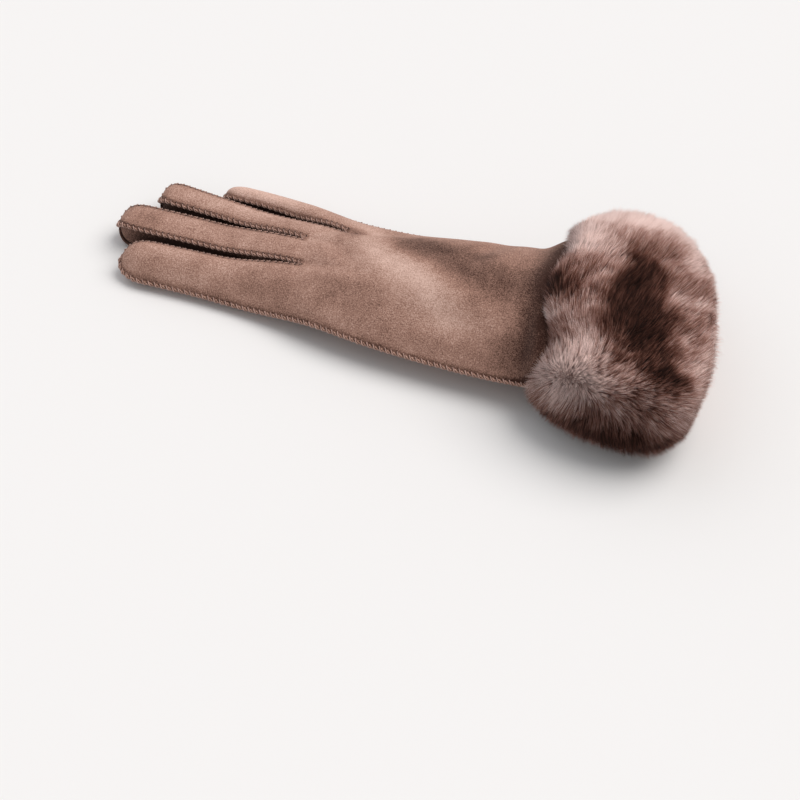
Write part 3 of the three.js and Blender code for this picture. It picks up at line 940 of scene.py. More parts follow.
def fur_span(angle: Array) -> tuple[Array, Array]:
    """Gives where the fur starts and ends along the cuff, at each angle round it.

    Args:
        angle: degrees, 0 at the near side and 90 on top.

    Returns:
        The starts, further back on the far side, and the ends, which are rounded off towards
        both sides.
    """
    far = ease((angle - FAR_FROM[0]) / FAR_FROM[1]) * (1 - ease((angle - FAR_TO[0]) / FAR_TO[1]))
    side = np.where(angle > UNDERSIDE, angle - 360, angle)
    near_off = np.minimum(((MOUTH_PEAK - side) / MOUTH_PEAK) ** 2, MOUTH_NEAR_MOST)
    far_off = np.minimum(((side - MOUTH_PEAK) / MOUTH_FAR_ARC) ** 2, 1.0)
    off = np.where(side < MOUTH_PEAK, MOUTH_NEAR * near_off, MOUTH_FAR * far_off)
    level = (MOUTH_NEAR * MOUTH_NEAR_MOST + MOUTH_FAR) / 2
    off = lerp(level, off, ease(np.abs(angle - UNDERSIDE) / UNDERSIDE_BLEND))
    waves = sum(wave.at(side, 0.0) for wave in START_WAVES)
    return FUR_START + FAR_TRIM * far + waves, FUR_END - off


# The hand's form


@dataclass(frozen=True)
class HandForm:
    """Where the glove's two panels run, from the fingertips to the cuff."""

    near_knuckle: float = -50.0
    far_knuckle: float = -38.0
    knuckle_share: float = 0.4  # how far towards the cuff the knuckles shape the hand
    tip_share: float = 0.16  # the width left at the very end of a finger
    tip_power: int = 6  # how late the two panels close there
    slit_rise: float = 0.55  # a slit's seams rise along this share of the finger,
    crown_rise: float = 0.5  # and its crown along this one
    palm_lift: float = 1.2  # the slits' lower seams lie this far above the palm
    # how square each part is across its width: about 2 is round, and more is flatter
    finger_back: float = 2.4
    finger_palm: float = 4
    hand_back: float = 2.6
    hand_palm: float = 5
    folds: float = 8
    entry_start: float = 7.5  # where the panels begin to follow the hollow, before its end
    entry_length: float = 6.5
    far_entry: float = 9.5  # and how much longer they take on the far side
    far_share: float = 0.4  # which begins at this share of the width
    entry_slack: float = 0.2  # between the panels and the hollow's wall
    entry_rise: float = 0.75  # the least height of the panels inside it

    def roots(self, f: int) -> tuple[Array, Array]:
        """Gives a finger's knuckle line.

        Args:
            f: the finger.

        Returns:
            Its two ends.
        """
        near_x, far_x = self.near_knuckle, self.far_knuckle
        near = np.array([near_x, float(HAND.at("near_y", near_x)), 0.0])
        far = np.array([far_x, float(HAND.at("far_y", far_x)), 0.0])
        if f > 0:
            near = np.array(CROTCHES[f - 1]) + (0, SLIT_HALF, 0)
        if f < len(FINGERS) - 1:
            far = np.array(CROTCHES[f]) - (0, SLIT_HALF, 0)
        return near, far

    def round_end(self, q: Array) -> Array:
        """Gives the share of a finger's width that is left at q."""
        return np.maximum(np.sqrt(np.clip(1 - q * q, 0, 1)), self.tip_share)

    def finger_plan(self, f: int, s: Array, q: Array, w: Array | float) -> tuple[Array, Array]:
        """Gives the plan of points on a finger.

        Args:
            f: the finger.
            s: 0 at the knuckles and 1 where the round tip starts.
            q: 0 where the round tip starts and 1 at its end.
            w: 0 at the near edge and 1 at the far edge.

        Returns:
            x and y.
        """
        finger = FINGERS[f]
        near, far = self.roots(f)
        root_x = lerp(near[0], far[0], w)
        x = lerp(root_x, finger.tip_x + finger.rounding, s) - finger.rounding * q
        along = (x - root_x) / (finger.tip_x - root_x)
        near_y = through(near[1], finger.near_y, finger.end_near_y, along)
        far_y = through(far[1], finger.far_y, finger.end_far_y, along)
        return x, (near_y + far_y) / 2 + (2 * w - 1) * (far_y - near_y) / 2 * self.round_end(q)

    def finger_edge(self, f: int, s: Array, q: Array, side: int, face: Face) -> Array:
        """Gives the height of a finger's panel at one edge.

        Args:
            f: the finger.
            s: as in finger_plan(),
            q: and likewise.
            side: 0 for the near edge and 1 for the far edge.
            face: the panel.

        Returns:
            The heights.
        """
        finger = FINGERS[f]
        x, _ = self.finger_plan(f, s, q, float(side))
        step = SEAM_STEP if face is Face.BACK else -SEAM_STEP
        close = 1 - q**self.tip_power
        tip = finger.seam_z / 2
        if (f == 0 and side == 0) or (f == len(FINGERS) - 1 and side == 1):
            return lerp(tip, HAND.at(("near_z", "far_z")[side], x), close) + step
        top = lerp(self.roots(f)[side][2], finger.seam_z, ease(s / self.slit_rise))
        level = top if face is Face.BACK else HAND.at("palm_z", x) + self.palm_lift
        return lerp(tip + step, level, close)

    def finger_point(self, f: int, s: Array, q: Array, w: Array, face: Face) -> Array:
        """Gives points of a finger's panel, by the same places as finger_plan().

        Args:
            f: the finger.
            s: as there, one for each row,
            q: and likewise.
            w: as there, one for each column.
            face: the panel.

        Returns:
            The points.
        """
        x, y = self.finger_plan(f, s, q, w)
        edges = [self.finger_edge(f, s, q, side, face) for side in (0, 1)]
        base = lerp(edges[0], edges[1], w)
        if face is Face.BACK:
            crown = FINGERS[f].crown * lerp(FINGERS[f].root_crown, 1.0, ease(s / self.crown_rise))
            return stacked(x, y, base + crown * self.round_end(q) * dome(w, self.finger_back))
        flat = np.minimum(base, lerp(base, HAND.at("palm_z", x), 1 - q**self.tip_power))
        return stacked(x, y, lerp(base, flat, dome(w, self.finger_palm)))

    def free_height(self, x: Array, w: Array, face: Face) -> Array:
        """Gives the height of the hand away from the fingers and the cuff.

        Args:
            x: places along the hand.
            w: 0 at the near edge and 1 at the far edge.
            face: the panel.

        Returns:
            The heights.
        """
        step = SEAM_STEP if face is Face.BACK else -SEAM_STEP
        seam = lerp(HAND.at("near_z", x), HAND.at("far_z", x), w) + step
        if face is Face.PALM:
            return lerp(seam, HAND.at("palm_z", x), dome(w, self.hand_palm))
        y = lerp(HAND.at("near_y", x), HAND.at("far_y", x), w)
        drop = sum(fold.at(x, y) for fold in FOLDS) * dome(w, self.folds)
        return lerp(seam, HAND.at("back_z", x), dome(w, self.hand_back)) - drop

    def entry_point(self, u: Array, w: Array, face: Face) -> Array:
        """Gives points of a panel where it lines the hollow of the cuff.

        Args:
            u: places along the cuff.
            w: 0 at the near edge and 1 at the far edge.
            face: the panel.

        Returns:
            The points.
        """
        inset = SEAM_GAP + SUEDE / 2 + self.entry_slack
        wide = HOLLOW.at("wide", u)
        half = HOLLOW.at("half", u) - inset
        across = 2 * w - 1
        bow = (1 - np.abs(across) ** CUFF_ROUNDNESS) ** (1 / CUFF_ROUNDNESS)
        upper = face is Face.BACK
        tall = HOLLOW.at("high", u) - wide if upper else wide - HOLLOW.at("low", u)
        rise = np.maximum((tall - inset) * bow, SEAM_GAP / 2 + self.entry_rise)
        height = wide + (rise if upper else -rise)
        return cuff_point(u, HOLLOW.at("shift", u) + half * across, height)

    def hand_point(self, knuckles: Array, r: Array, face: Face) -> Array:
        """Gives points of a panel between the fingers and its end in the cuff.

        Args:
            knuckles: the knuckle line's points.
            r: 0 there and 1 at the end.
            face: the panel.

        Returns:
            The points, one row for each r.
        """
        kx, ky, kz = (knuckles[None, :, k] for k in range(3))
        near_y = HAND.at("near_y", kx)
        w = np.clip((ky - near_y) / (HAND.at("far_y", kx) - near_y), 0, 1)
        x = lerp(kx, self.entry_point(np.array(SUEDE_END), w, face)[..., 0], r)
        y = lerp(HAND.at("near_y", x), HAND.at("far_y", x), w)
        lift = (kz - self.free_height(kx, w, face)) * (1 - ease(r / self.knuckle_share))
        free = stacked(x, y, self.free_height(x, w, face) + lift)
        u = (free - cuff_point(0.0, 0.0, 0.0)) @ CUFF_ALONG
        u = np.where(r >= 1, SUEDE_END, u)
        far = ease((w - self.far_share) / self.far_share)
        length = self.entry_length + self.far_entry * far
        inside = ease((u - HOLLOW_ENTRY + self.entry_start) / length)
        return lerp(free, self.entry_point(u, w, face), inside[..., None])


# Suede panels


@dataclass
class Border:
    """A panel's edge from the cuff round all the fingers and back: its points' indices, and how
    much each belongs to the outseam (1) or to a slit's seam (0)."""

    index: list[int]
    outer: Array


@dataclass
class SuedePanel:
    """The back or the palm of the hand, cut in one with all four fingers."""

    face: Face
    form: HandForm
    finish: Material
    hand_rows: int = 46
    finger_rows: int = 34
    tip_rows: int = 10
    finger_columns: int = 11
    crowding: float = 0.55  # how much closer the columns lie near a finger's edges, as a share
    lip_steps: tuple[float, ...] = (0.4, 0.75, 1.0)
    outseam_from: float = 0.25  # the slits' seams turn into the outseam from this q on,
    outseam_blend: float = 0.6  # over so much of it
    swell_square: float = 6  # how square the low swell is across the panel
    swell_start: float = 0.12  # and the share of the rows over which it grows from the knuckles
    palm_shade: float = -0.05

    def stations(self) -> tuple[Array, Array]:
        """Gives the rows of a finger, from the knuckles to the tip.

        Returns:
            s and q of every row, as in finger_plan().
        """
        s = np.concatenate([np.linspace(0, 1, self.finger_rows), np.ones(self.tip_rows)])
        turn = np.linspace(0, math.pi / 2, self.tip_rows + 1)[1:]
        q = np.concatenate([np.zeros(self.finger_rows), np.sin(turn)])
        return s[:, None], q[:, None]

    def columns(self) -> Array:
        """Gives the places across a finger."""
        t = np.linspace(0, 1, self.finger_columns)
        return (t - self.crowding * np.sin(2 * math.pi * t) / (2 * math.pi))[None, :]

    def sheet(self) -> tuple[Sheet, Border]:
        """Lays out the panel.

        Returns:
            The sheet without its turned edges, and its border.
        """
        s, q = self.stations()
        w = self.columns()
        fingers = [self.form.finger_point(f, s, q, w, self.face) for f in range(len(FINGERS))]
        roots = np.concatenate([finger[0] for finger in fingers])
        r = np.linspace(0, 1, self.hand_rows)[1:, None]
        hand = np.concatenate([roots[None], self.form.hand_point(roots, r, self.face)])
        hand[..., 2] += self.small_folds(hand)
        index = np.arange(hand[..., 0].size).reshape(hand.shape[:2])
        faces, points = [quads(index)[:, ::-1]], [hand.reshape(-1, 3)]
        count, across = index.size, self.finger_columns
        finger_index = []
        for f, finger in enumerate(fingers):
            rest = np.arange((len(s) - 1) * across).reshape(-1, across) + count
            finger_index.append(np.concatenate([index[:1, f * across : (f + 1) * across], rest]))
            faces.append(quads(finger_index[-1]))
            points.append(finger[1:].reshape(-1, 3))
            count += rest.size
        sheet = Sheet(np.concatenate(points), np.concatenate(faces))
        return sheet, self.border(index, finger_index)

    def small_folds(self, hand: Array) -> Array:
        """Gives the low uneven swell of worn suede, which dies out at the panel's edges.

        Args:
            hand: the panel's points behind the fingers.

        Returns:
            The height to add at each.
        """
        if self.face is Face.PALM:
            return np.zeros(hand.shape[:2])
        rows, across = hand.shape[:2]
        calm = dome(np.linspace(0, 1, across)[None, :], self.swell_square)
        calm = calm * ease(np.linspace(0, 1, rows) / self.swell_start)[:, None]
        return calm * sum(
            height * roughness_of(hand * stretch, size, seed)
            for stretch, size, seed, height in SWELLS
        )

    def border(self, index: Array, fingers: list[Array]) -> Border:
        """Follows the edge from the cuff along the near side, round every finger and back.

        Args:
            index: the points of the hand, by row and column,
            fingers: and those of each finger.

        Returns:
            The border.
        """
        _, q = self.stations()
        tip = ease((q[:, 0] - self.outseam_from) / self.outseam_blend)
        path = list(index[:0:-1, 0])
        outer = [1.0] * len(path)
        for f, own in enumerate(fingers):
            near = np.ones(len(own)) if f == 0 else tip
            far = np.ones(len(own)) if f == len(fingers) - 1 else tip
            path += [*own[:, 0], *own[-1, 1:-1], *own[::-1, -1]]
            outer += [*near, *np.ones(own.shape[1] - 2), *far[::-1]]
        path += list(index[1:, -1])
        outer += [1.0] * (len(index) - 1)
        return Border(path, np.array(outer))

    def seam_directions(self, sheet: Sheet, border: Border) -> tuple[Array, Array]:
        """Gives the directions at the panel's edge.

        Args:
            sheet: the panel without its turned edges.
            border: its border.

        Returns:
            The level directions outwards, and the ways that the turned edge goes.
        """
        along = np.gradient(sheet.points[border.index], axis=0)
        along[:, 2] = 0
        along = unit(along)
        outward = np.stack([-along[:, 1], along[:, 0], np.zeros(len(along))], -1)
        out = LIP_OUT * lerp(SLIT_SEAM, 1.0, border.outer)
        inward = lerp(SLIT_SEAM_DROP, LIP_IN, border.outer)
        inward = inward * (-1 if self.face is Face.BACK else 1)
        return outward, outward * out[:, None] + inward[:, None] * UP

    def build(self) -> tuple[Array, Array, Array]:
        """Builds the panel.

        Returns:
            For the stitches: the edge's points, the outward directions and the share of the
            outseam at each.
        """
        sheet, border = self.sheet()
        outward, turn = self.seam_directions(sheet, border)
        edge = sheet.points[border.index]
        lips = [edge + turn * step for step in self.lip_steps]
        count, around = len(sheet.points), len(edge)
        new = np.arange(len(lips) * around).reshape(-1, around) + count
        strips = quads(np.concatenate([[border.index], new]))
        full = Sheet(np.concatenate([sheet.points, *lips]), np.concatenate([sheet.faces, strips]))
        pressed = [np.full(around, lerp(1.0, LIP_THIN, step)) for step in self.lip_steps]
        shell = full.thickened(SUEDE * np.concatenate([np.ones(count), *pressed]))
        node = f"hand_{self.face.value}"
        shade = {"shade": self.shade(shell.points, edge)}
        piece = mesh_object(f"{node}_suede", shell.points, shell.faces, shade)
        if self.face is Face.BACK:
            soften(piece)
        dress(piece, (node,), self.finish)
        return edge, outward, border.outer

    def shade(self, points: Array, edge: Array) -> Array:
        """Gives the painted light and shade on the panel.

        Args:
            points: the panel's points.
            edge: those of its edge.

        Returns:
            The shade at each point.
        """
        tree = KDTree(len(edge))
        for k, place in enumerate(edge):
            tree.insert(Vector(place), k)
        tree.balance()
        inside = np.array([tree.find(Vector(point))[2] for point in points])
        # painted shade in the groove beside the stitches
        groove = GROOVE_SHADE * np.exp(-(((inside - GROOVE_IN) / GROOVE_HALF) ** 2))
        if self.face is Face.PALM:
            return groove + self.palm_shade
        # the back's painted light and shade
        return groove + sum(mark.at(points[:, 0], points[:, 1]) for mark in PAINTED_LIGHT)


@dataclass
class Fourchette:
    """The suede wall of one slit, from one finger's tip round the crotch to the next one's."""

    gap: int
    form: HandForm
    finish: Material
    panel: SuedePanel
    rows: int = 6
    bend_points: int = 7
    bend_half: float = 60.0  # degrees to each side, round the end of the slit
    bend_out: float = 1.3  # how far it stands out there, as a share of the walls' inset
    foot: float = 1.3  # the wall's foot there is this far above the palm's middle
    bright: float = -0.3  # painted shade on the wall, near the back of the glove,
    dark: float = -1.0  # and at its darkest, deep in the slit where shade falls
    bright_z: float = 15.0  # it darkens below this height,
    fade: float = 0.1  # by this much for each millimetre,
    tip_x: float = -152.0  # and not at all beside the fingertips, up to here,
    tip_blend: float = 30.0  # but fully after this distance

    def build(self) -> Object:
        """Builds the wall.

        Returns:
            The piece.
        """
        s, q = (rows[:-1] for rows in self.panel.stations())
        near, far = self.side(self.gap, s, q, 1), self.side(self.gap + 1, s, q, 0)
        x, y, back_z = CROTCHES[self.gap]
        low = float(HAND.at("palm_z", x + 2)) + self.foot + SUEDE / 2 + SEAM_GAP
        high = back_z - SUEDE / 2 - SEAM_GAP
        turn = np.radians(np.linspace(-self.bend_half, self.bend_half, self.bend_points))
        bend_x = x + WALL_INSET * self.bend_out * np.cos(turn)
        bend_y = y + (SLIT_HALF + WALL_INSET) * np.sin(turn)
        bend = np.stack(np.broadcast_arrays(bend_x, bend_y, low, high), -1)
        path = np.concatenate([near[::-1], bend, far])
        t = np.linspace(0, 1, self.rows)[:, None]
        rows = stacked(path[None, :, 0], path[None, :, 1], lerp(path[:, 2], path[:, 3], t))
        shell = Sheet.grid(rows).thickened(SUEDE)
        # painted shade, darker deeper in the slit
        shade = (shell.points[:, 2] - self.bright_z) * self.fade + self.bright
        shade = np.clip(shade, self.dark, self.bright)
        deep = ease((shell.points[:, 0] - self.tip_x) / self.tip_blend)
        shade = {"shade": lerp(self.bright, shade, deep)}
        node = f"fourchette_{FINGERS[self.gap].name}_{FINGERS[self.gap + 1].name}"
        piece = mesh_object(f"{node}_suede", shell.points, shell.faces, shade)
        soften(piece)
        return dress(piece, (node,), self.finish)

    def side(self, f: int, s: Array, q: Array, side: int) -> Array:
        """Gives the wall's path beside one finger.

        Args:
            f: the finger.
            s: as in finger_plan(),
            q: and likewise.
            side: 0 for its near edge and 1 for its far edge.

        Returns:
            x, y, and the heights of the wall's lower and upper end.
        """
        x, y = (a[:, 0] for a in self.form.finger_plan(f, s, q, float(side)))
        along = unit(np.stack([np.gradient(x), np.gradient(y)], -1))
        inset = -WALL_INSET if side == 1 else WALL_INSET
        low = self.form.finger_edge(f, s, q, side, Face.PALM)[:, 0] + SUEDE / 2 + SEAM_GAP
        high = self.form.finger_edge(f, s, q, side, Face.BACK)[:, 0] - SUEDE / 2 - SEAM_GAP
        return np.stack([x + along[:, 1] * inset, y - along[:, 0] * inset, low, high], -1)


@dataclass
class Thumb:
    """The thumb, folded flat under the palm."""

    finish: Material
    rows: int = 48
    around: int = 40
    roundness: float = 0.75  # of its section: 1 is an ellipse, and less is flatter

    def build(self) -> Object:
        """Builds the thumb as one closed body.

        Returns:
            The piece.
        """
        path = THUMB_TIP - THUMB_ROOT
        along = unit(path)
        across = np.array([-along[1], along[0], 0.0])
        t = (1 - np.cos(np.linspace(0, math.pi, self.rows))) / 2
        angle = np.linspace(0, 2 * math.pi, self.around, endpoint=False)[None, :]
        wide = THUMB_HALF * THUMB_ROWS.at("wide", t)[:, None]
        wide = wide * signed_power(np.cos(angle), self.roundness)
        tall = (THUMB_HIGH - THUMB_LOW) / 2 * THUMB_ROWS.at("tall", t)[:, None]
        height = (THUMB_LOW + THUMB_HIGH) / 2 + tall * signed_power(np.sin(angle), self.roundness)
        rows = THUMB_ROOT + t[:, None, None] * path + wide[..., None] * across
        points, faces = capped_tube(rows + height[..., None] * UP)
        piece = mesh_object("thumb_suede", points, faces, {})
        return dress(piece, ("thumb",), self.finish)


# Stitches


@dataclass(frozen=True)
class SeamLine:
    """The line of a seam, in even small steps: its points, the unit directions along it and
    outwards, and its size as a share of an outseam's."""

    points: Array
    along: Array
    outward: Array
    size: Array

    @staticmethod
    def of(face: Face, edge: Array, outward: Array, outer: Array) -> list["SeamLine"]:
        """Follows the seams along a panel's edge.

        Args:
            face: the panel.
            edge: the edge's points.
            outward: the level outward directions there.
            outer: the share of the outseam there.

        Returns:
            The lines, each an unbroken run. The palm has only those of the slits, since its
            outseam is the back's too.
        """
        drop = lerp(SLIT_SEAM_DROP, SEAM_STEP, outer) * (1 if face is Face.BACK else -1)
        points = edge - drop[:, None] * UP
        points = points - (SLIT_SEAM_IN * (1 - outer))[:, None] * outward
        runs = [np.arange(len(edge))]
        if face is Face.PALM:
            breaks = np.flatnonzero(np.diff((outer > 0.5).astype(int))) + 1
            runs = [run for run in np.split(runs[0], breaks) if outer[run[0]] <= 0.5]
        size = lerp(SLIT_SEAM, 1.0, outer)
        return [SeamLine.even(points[run], outward[run], size[run]) for run in runs]

    @staticmethod
    def even(points: Array, outward: Array, size: Array) -> "SeamLine":
        """Lays a line out again in even steps, a whole number of them for each stitch.

        Args:
            points: the line's points.
            outward: the directions there.
            size: its size there.

        Returns:
            The line.
        """
        length = np.concatenate([[0], np.linalg.norm(np.diff(points, axis=0), axis=1).cumsum()])
        stitches = round(length[-1] / STITCH_SPACING)
        where = np.linspace(0, length[-1], stitches * STEPS_A_STITCH + 1)
        values = np.concatenate([points, outward, size[:, None]], 1)
        fine = np.stack([np.interp(where, length, column) for column in values.T], -1)
        average = np.array([1, 3, 5, 6, 5, 3, 1]) / 24  # takes the corners off the line
        padded = np.pad(fine, ((3, 3), (0, 0)), "edge")
        fine = np.stack([np.convolve(column, average, "valid") for column in padded.T], -1)
        along = unit(np.gradient(fine[:, :3], axis=0))
        return SeamLine(fine[:, :3], along, unit(fine[:, 3:6]), fine[:, 6])


@dataclass
class RolledEdge:
    """The edges of the leather under the stitches, which draw them into slanted lobes."""

    finish: Material
    out: float = 0.6  # the roll's middle, outward from the seam's line
    half_out: float = 0.95
    half_up: float = 0.9
    groove: float = 0.38  # how deep the thread draws it in, as a share
    tightness: float = 1.8  # the higher, the narrower the grooves
    taper: float = 1.5  # how far before a seam's end it gets thinner
    lobe_lighter: float = 0.18  # how much lighter the lobes are
    groove_shadow: float = 0.95  # and how much darker the grooves are, painted shade where the thread draws the roll in
    sides: int = 8

    def build(self, name: str, lines: list[SeamLine]) -> Object:
        """Builds the roll.

        Args:
            name: the piece's name.
            lines: the seams.

        Returns:
            A closed roll along each seam, all in one piece.
        """
        turn = np.linspace(-math.pi, math.pi, self.sides, endpoint=False)[None, :]
        points, faces, shades, count = [], [], [], 0
        for line in lines:
            step = np.arange(len(line.points))[:, None] / STEPS_A_STITCH
            phase = step - STITCH_SLANT / STITCH_SPACING * turn / math.pi
            drawn = (0.5 + 0.5 * np.cos(2 * math.pi * phase)) ** self.tightness
            size = (1 - self.groove * drawn) * line.size[:, None]
            end = np.minimum(step, step[::-1]) * STITCH_SPACING
            size = size * np.sqrt(np.clip(end / self.taper, 0.05, 1))
            outward = self.out * line.size[:, None] + self.half_out * size * np.cos(turn)
            rows = line.points[:, None] + outward[..., None] * line.outward[:, None]
            rows = rows + (self.half_up * size * np.sin(turn))[..., None] * UP
            own, own_faces = capped_tube(rows)
            points.append(own)
            faces += [[i + count for i in face] for face in own_faces]
            # painted shade in the grooves between the lighter lobes
            shade = self.lobe_lighter - (self.lobe_lighter + self.groove_shadow) * drawn
            shades += [shade[:, ::-1].ravel(), np.zeros(2)]
            count += len(own)
        shade = {"shade": np.concatenate(shades)}
        piece = mesh_object(name, np.concatenate(points), faces, shade)
        return dress(piece, finish=self.finish)


@dataclass
class SeamWork:
    """What repeats at every stitch of a seam: the thread itself, and the painted shadow in its
    needle holes.
    """

    finish: Material
    half: float  # half the thickness of the thread or of a hole's dark ball
    seed: int = 3
    end_out: float = -0.35  # where a stitch enters the leather, outward from the seam's line
    end_up: float = 1.15  # and above or below it
    reach: float = 1.62  # how far out it passes round the edge
    # the least and the most of each one's size along, out and up, as shares
    least: tuple[float, float, float] = (0.9, 0.96, 0.96)
    most: tuple[float, float, float] = (1.1, 1.05, 1.05)

    def shape(self, add: Adder, given: Sockets) -> Node:
        """Builds the repeated shape: x along the seam, y outwards, z through the layers.

        Args:
            add: adds a node to the tree.
            given: the tree's named inputs.

        Returns:
            The node whose first output is the shape.
        """
        raise NotImplementedError

    def tree(self) -> NodeTree:
        """Builds the Geometry Nodes that set the shape at every point of a mesh.

        Returns:
            The tree. The mesh has the values `along`, `outward` and `size` at its points.
        """
        inputs = {"Places": "Geometry", "Slant": "Float", "Half": "Float", "Seed": "Int"}
        tree, add, given = new_tree(type(self).__name__, inputs, "Sewn")
        kinds = {"along": "FLOAT_VECTOR", "outward": "FLOAT_VECTOR", "size": "FLOAT"}
        along, outward, share = (
            add(VALUE_READER, {"Name": key}, data_type=kind)
            for key, kind in kinds.items()
        )
        turn = add(
            "FunctionNodeAxesToRotation",
            {"Primary Axis": along, "Secondary Axis": outward},
            primary_axis="X",
            secondary_axis="Y",
        )
        size = {"Min": self.least, "Max": self.most, "Seed": given["Seed"]}
        size = add("FunctionNodeRandomValue", size, data_type="FLOAT_VECTOR")
        size = add(VECTOR_MATHS, {0: size, "Scale": share}, operation="SCALE")
        places = {
            "Points": given["Places"],
            "Instance": self.shape(add, given),
            "Rotation": turn,
            "Scale": size,
        }
        end_tree(add, add("GeometryNodeInstanceOnPoints", places), self.finish)
        return tree

    def build(self, name: str, lines: list[SeamLine]) -> Object:
        """Sews along some seams.

        Args:
            name: the piece's name.
            lines: the seams.

        Returns:
            A plain mesh.
        """
        each = slice(STEPS_A_STITCH, -STEPS_A_STITCH, STEPS_A_STITCH)
        values = {
            key: np.concatenate([getattr(line, key)[each] for line in lines])
            for key in ("points", "along", "outward", "size")
        }
        source = mesh_object(f"{name}_places", values.pop("points"), [], values)
        sizes = {"Slant": STITCH_SLANT * MM, "Half": self.half * MM, "Seed": self.seed}
        return dress(grown(source, self.tree(), sizes, name))


@dataclass
class WhipStitches(SeamWork):
    """Whip stitches: slanted loops of thread over the edge."""

    rings: int = 9
    sides: int = 6

    def shape(self, add: Adder, given: Sockets) -> Node:
        """Builds one loop of thread: half an ellipse round the edge, drawn out along it."""
        line = add("GeometryNodeCurvePrimitiveLine", {"End": (0, 0, 1)})
        fine = add("GeometryNodeResampleCurve", {"Curve": line, "Count": self.rings})
        share = add("GeometryNodeSplineParameter")
        turn = {"Value": share, "To Min": -math.pi / 2, "To Max": math.pi / 2}
        turn = add("ShaderNodeMapRange", turn)
        cosine = add("ShaderNodeMath", {0: turn}, operation="COSINE")
        sine = add("ShaderNodeMath", {0: turn}, operation="SINE")
        y = {"Value": cosine, "To Min": self.end_out * MM, "To Max": self.reach * MM}
        y = add("ShaderNodeMapRange", y)
        z = add("ShaderNodeMath", {0: sine, 1: self.end_up * MM}, operation="MULTIPLY")
        x = add("ShaderNodeMath", {0: turn, 1: given["Slant"]}, operation="MULTIPLY")
        x = add("ShaderNodeMath", {0: x, 1: math.pi}, operation="DIVIDE")
        place = add("ShaderNodeCombineXYZ", {"X": x, "Y": y, "Z": z})
        loop = add("GeometryNodeSetPosition", {"Geometry": fine, "Position": place})
        ring = {"Resolution": self.sides, "Radius": given["Half"]}
        ring = add("GeometryNodeCurvePrimitiveCircle", ring)
        thread = {"Curve": loop, "Profile Curve": ring, "Fill Caps": True}
        return add("GeometryNodeCurveToMesh", thread)


@dataclass
class NeedleHoleShadows(SeamWork):
    """Painted shadow in the needle holes: dark balls where a stitch enters the leather, above and
    below.
    """

    lift: float = 0.12

    def shape(self, add: Adder, given: Sockets) -> Node:
        """Builds the dark balls of painted shadow in one stitch's two holes."""
        ball = {"Radius": given["Half"], "Subdivisions": 1}
        ball = add("GeometryNodeMeshIcoSphere", ball)
        y, z = (self.end_out - self.lift) * MM, (self.end_up + self.lift) * MM
        joined = add("GeometryNodeJoinGeometry")
        for side in (-1, 1):
            x = {0: given["Slant"], 1: side / 2}
            x = add("ShaderNodeMath", x, operation="MULTIPLY")
            place = add("ShaderNodeCombineXYZ", {"X": x, "Y": y, "Z": side * z})
            mouth = {"Geometry": ball, "Translation": place}
            fill(joined, {0: add("GeometryNodeTransform", mouth)})
        return joined


# Fur


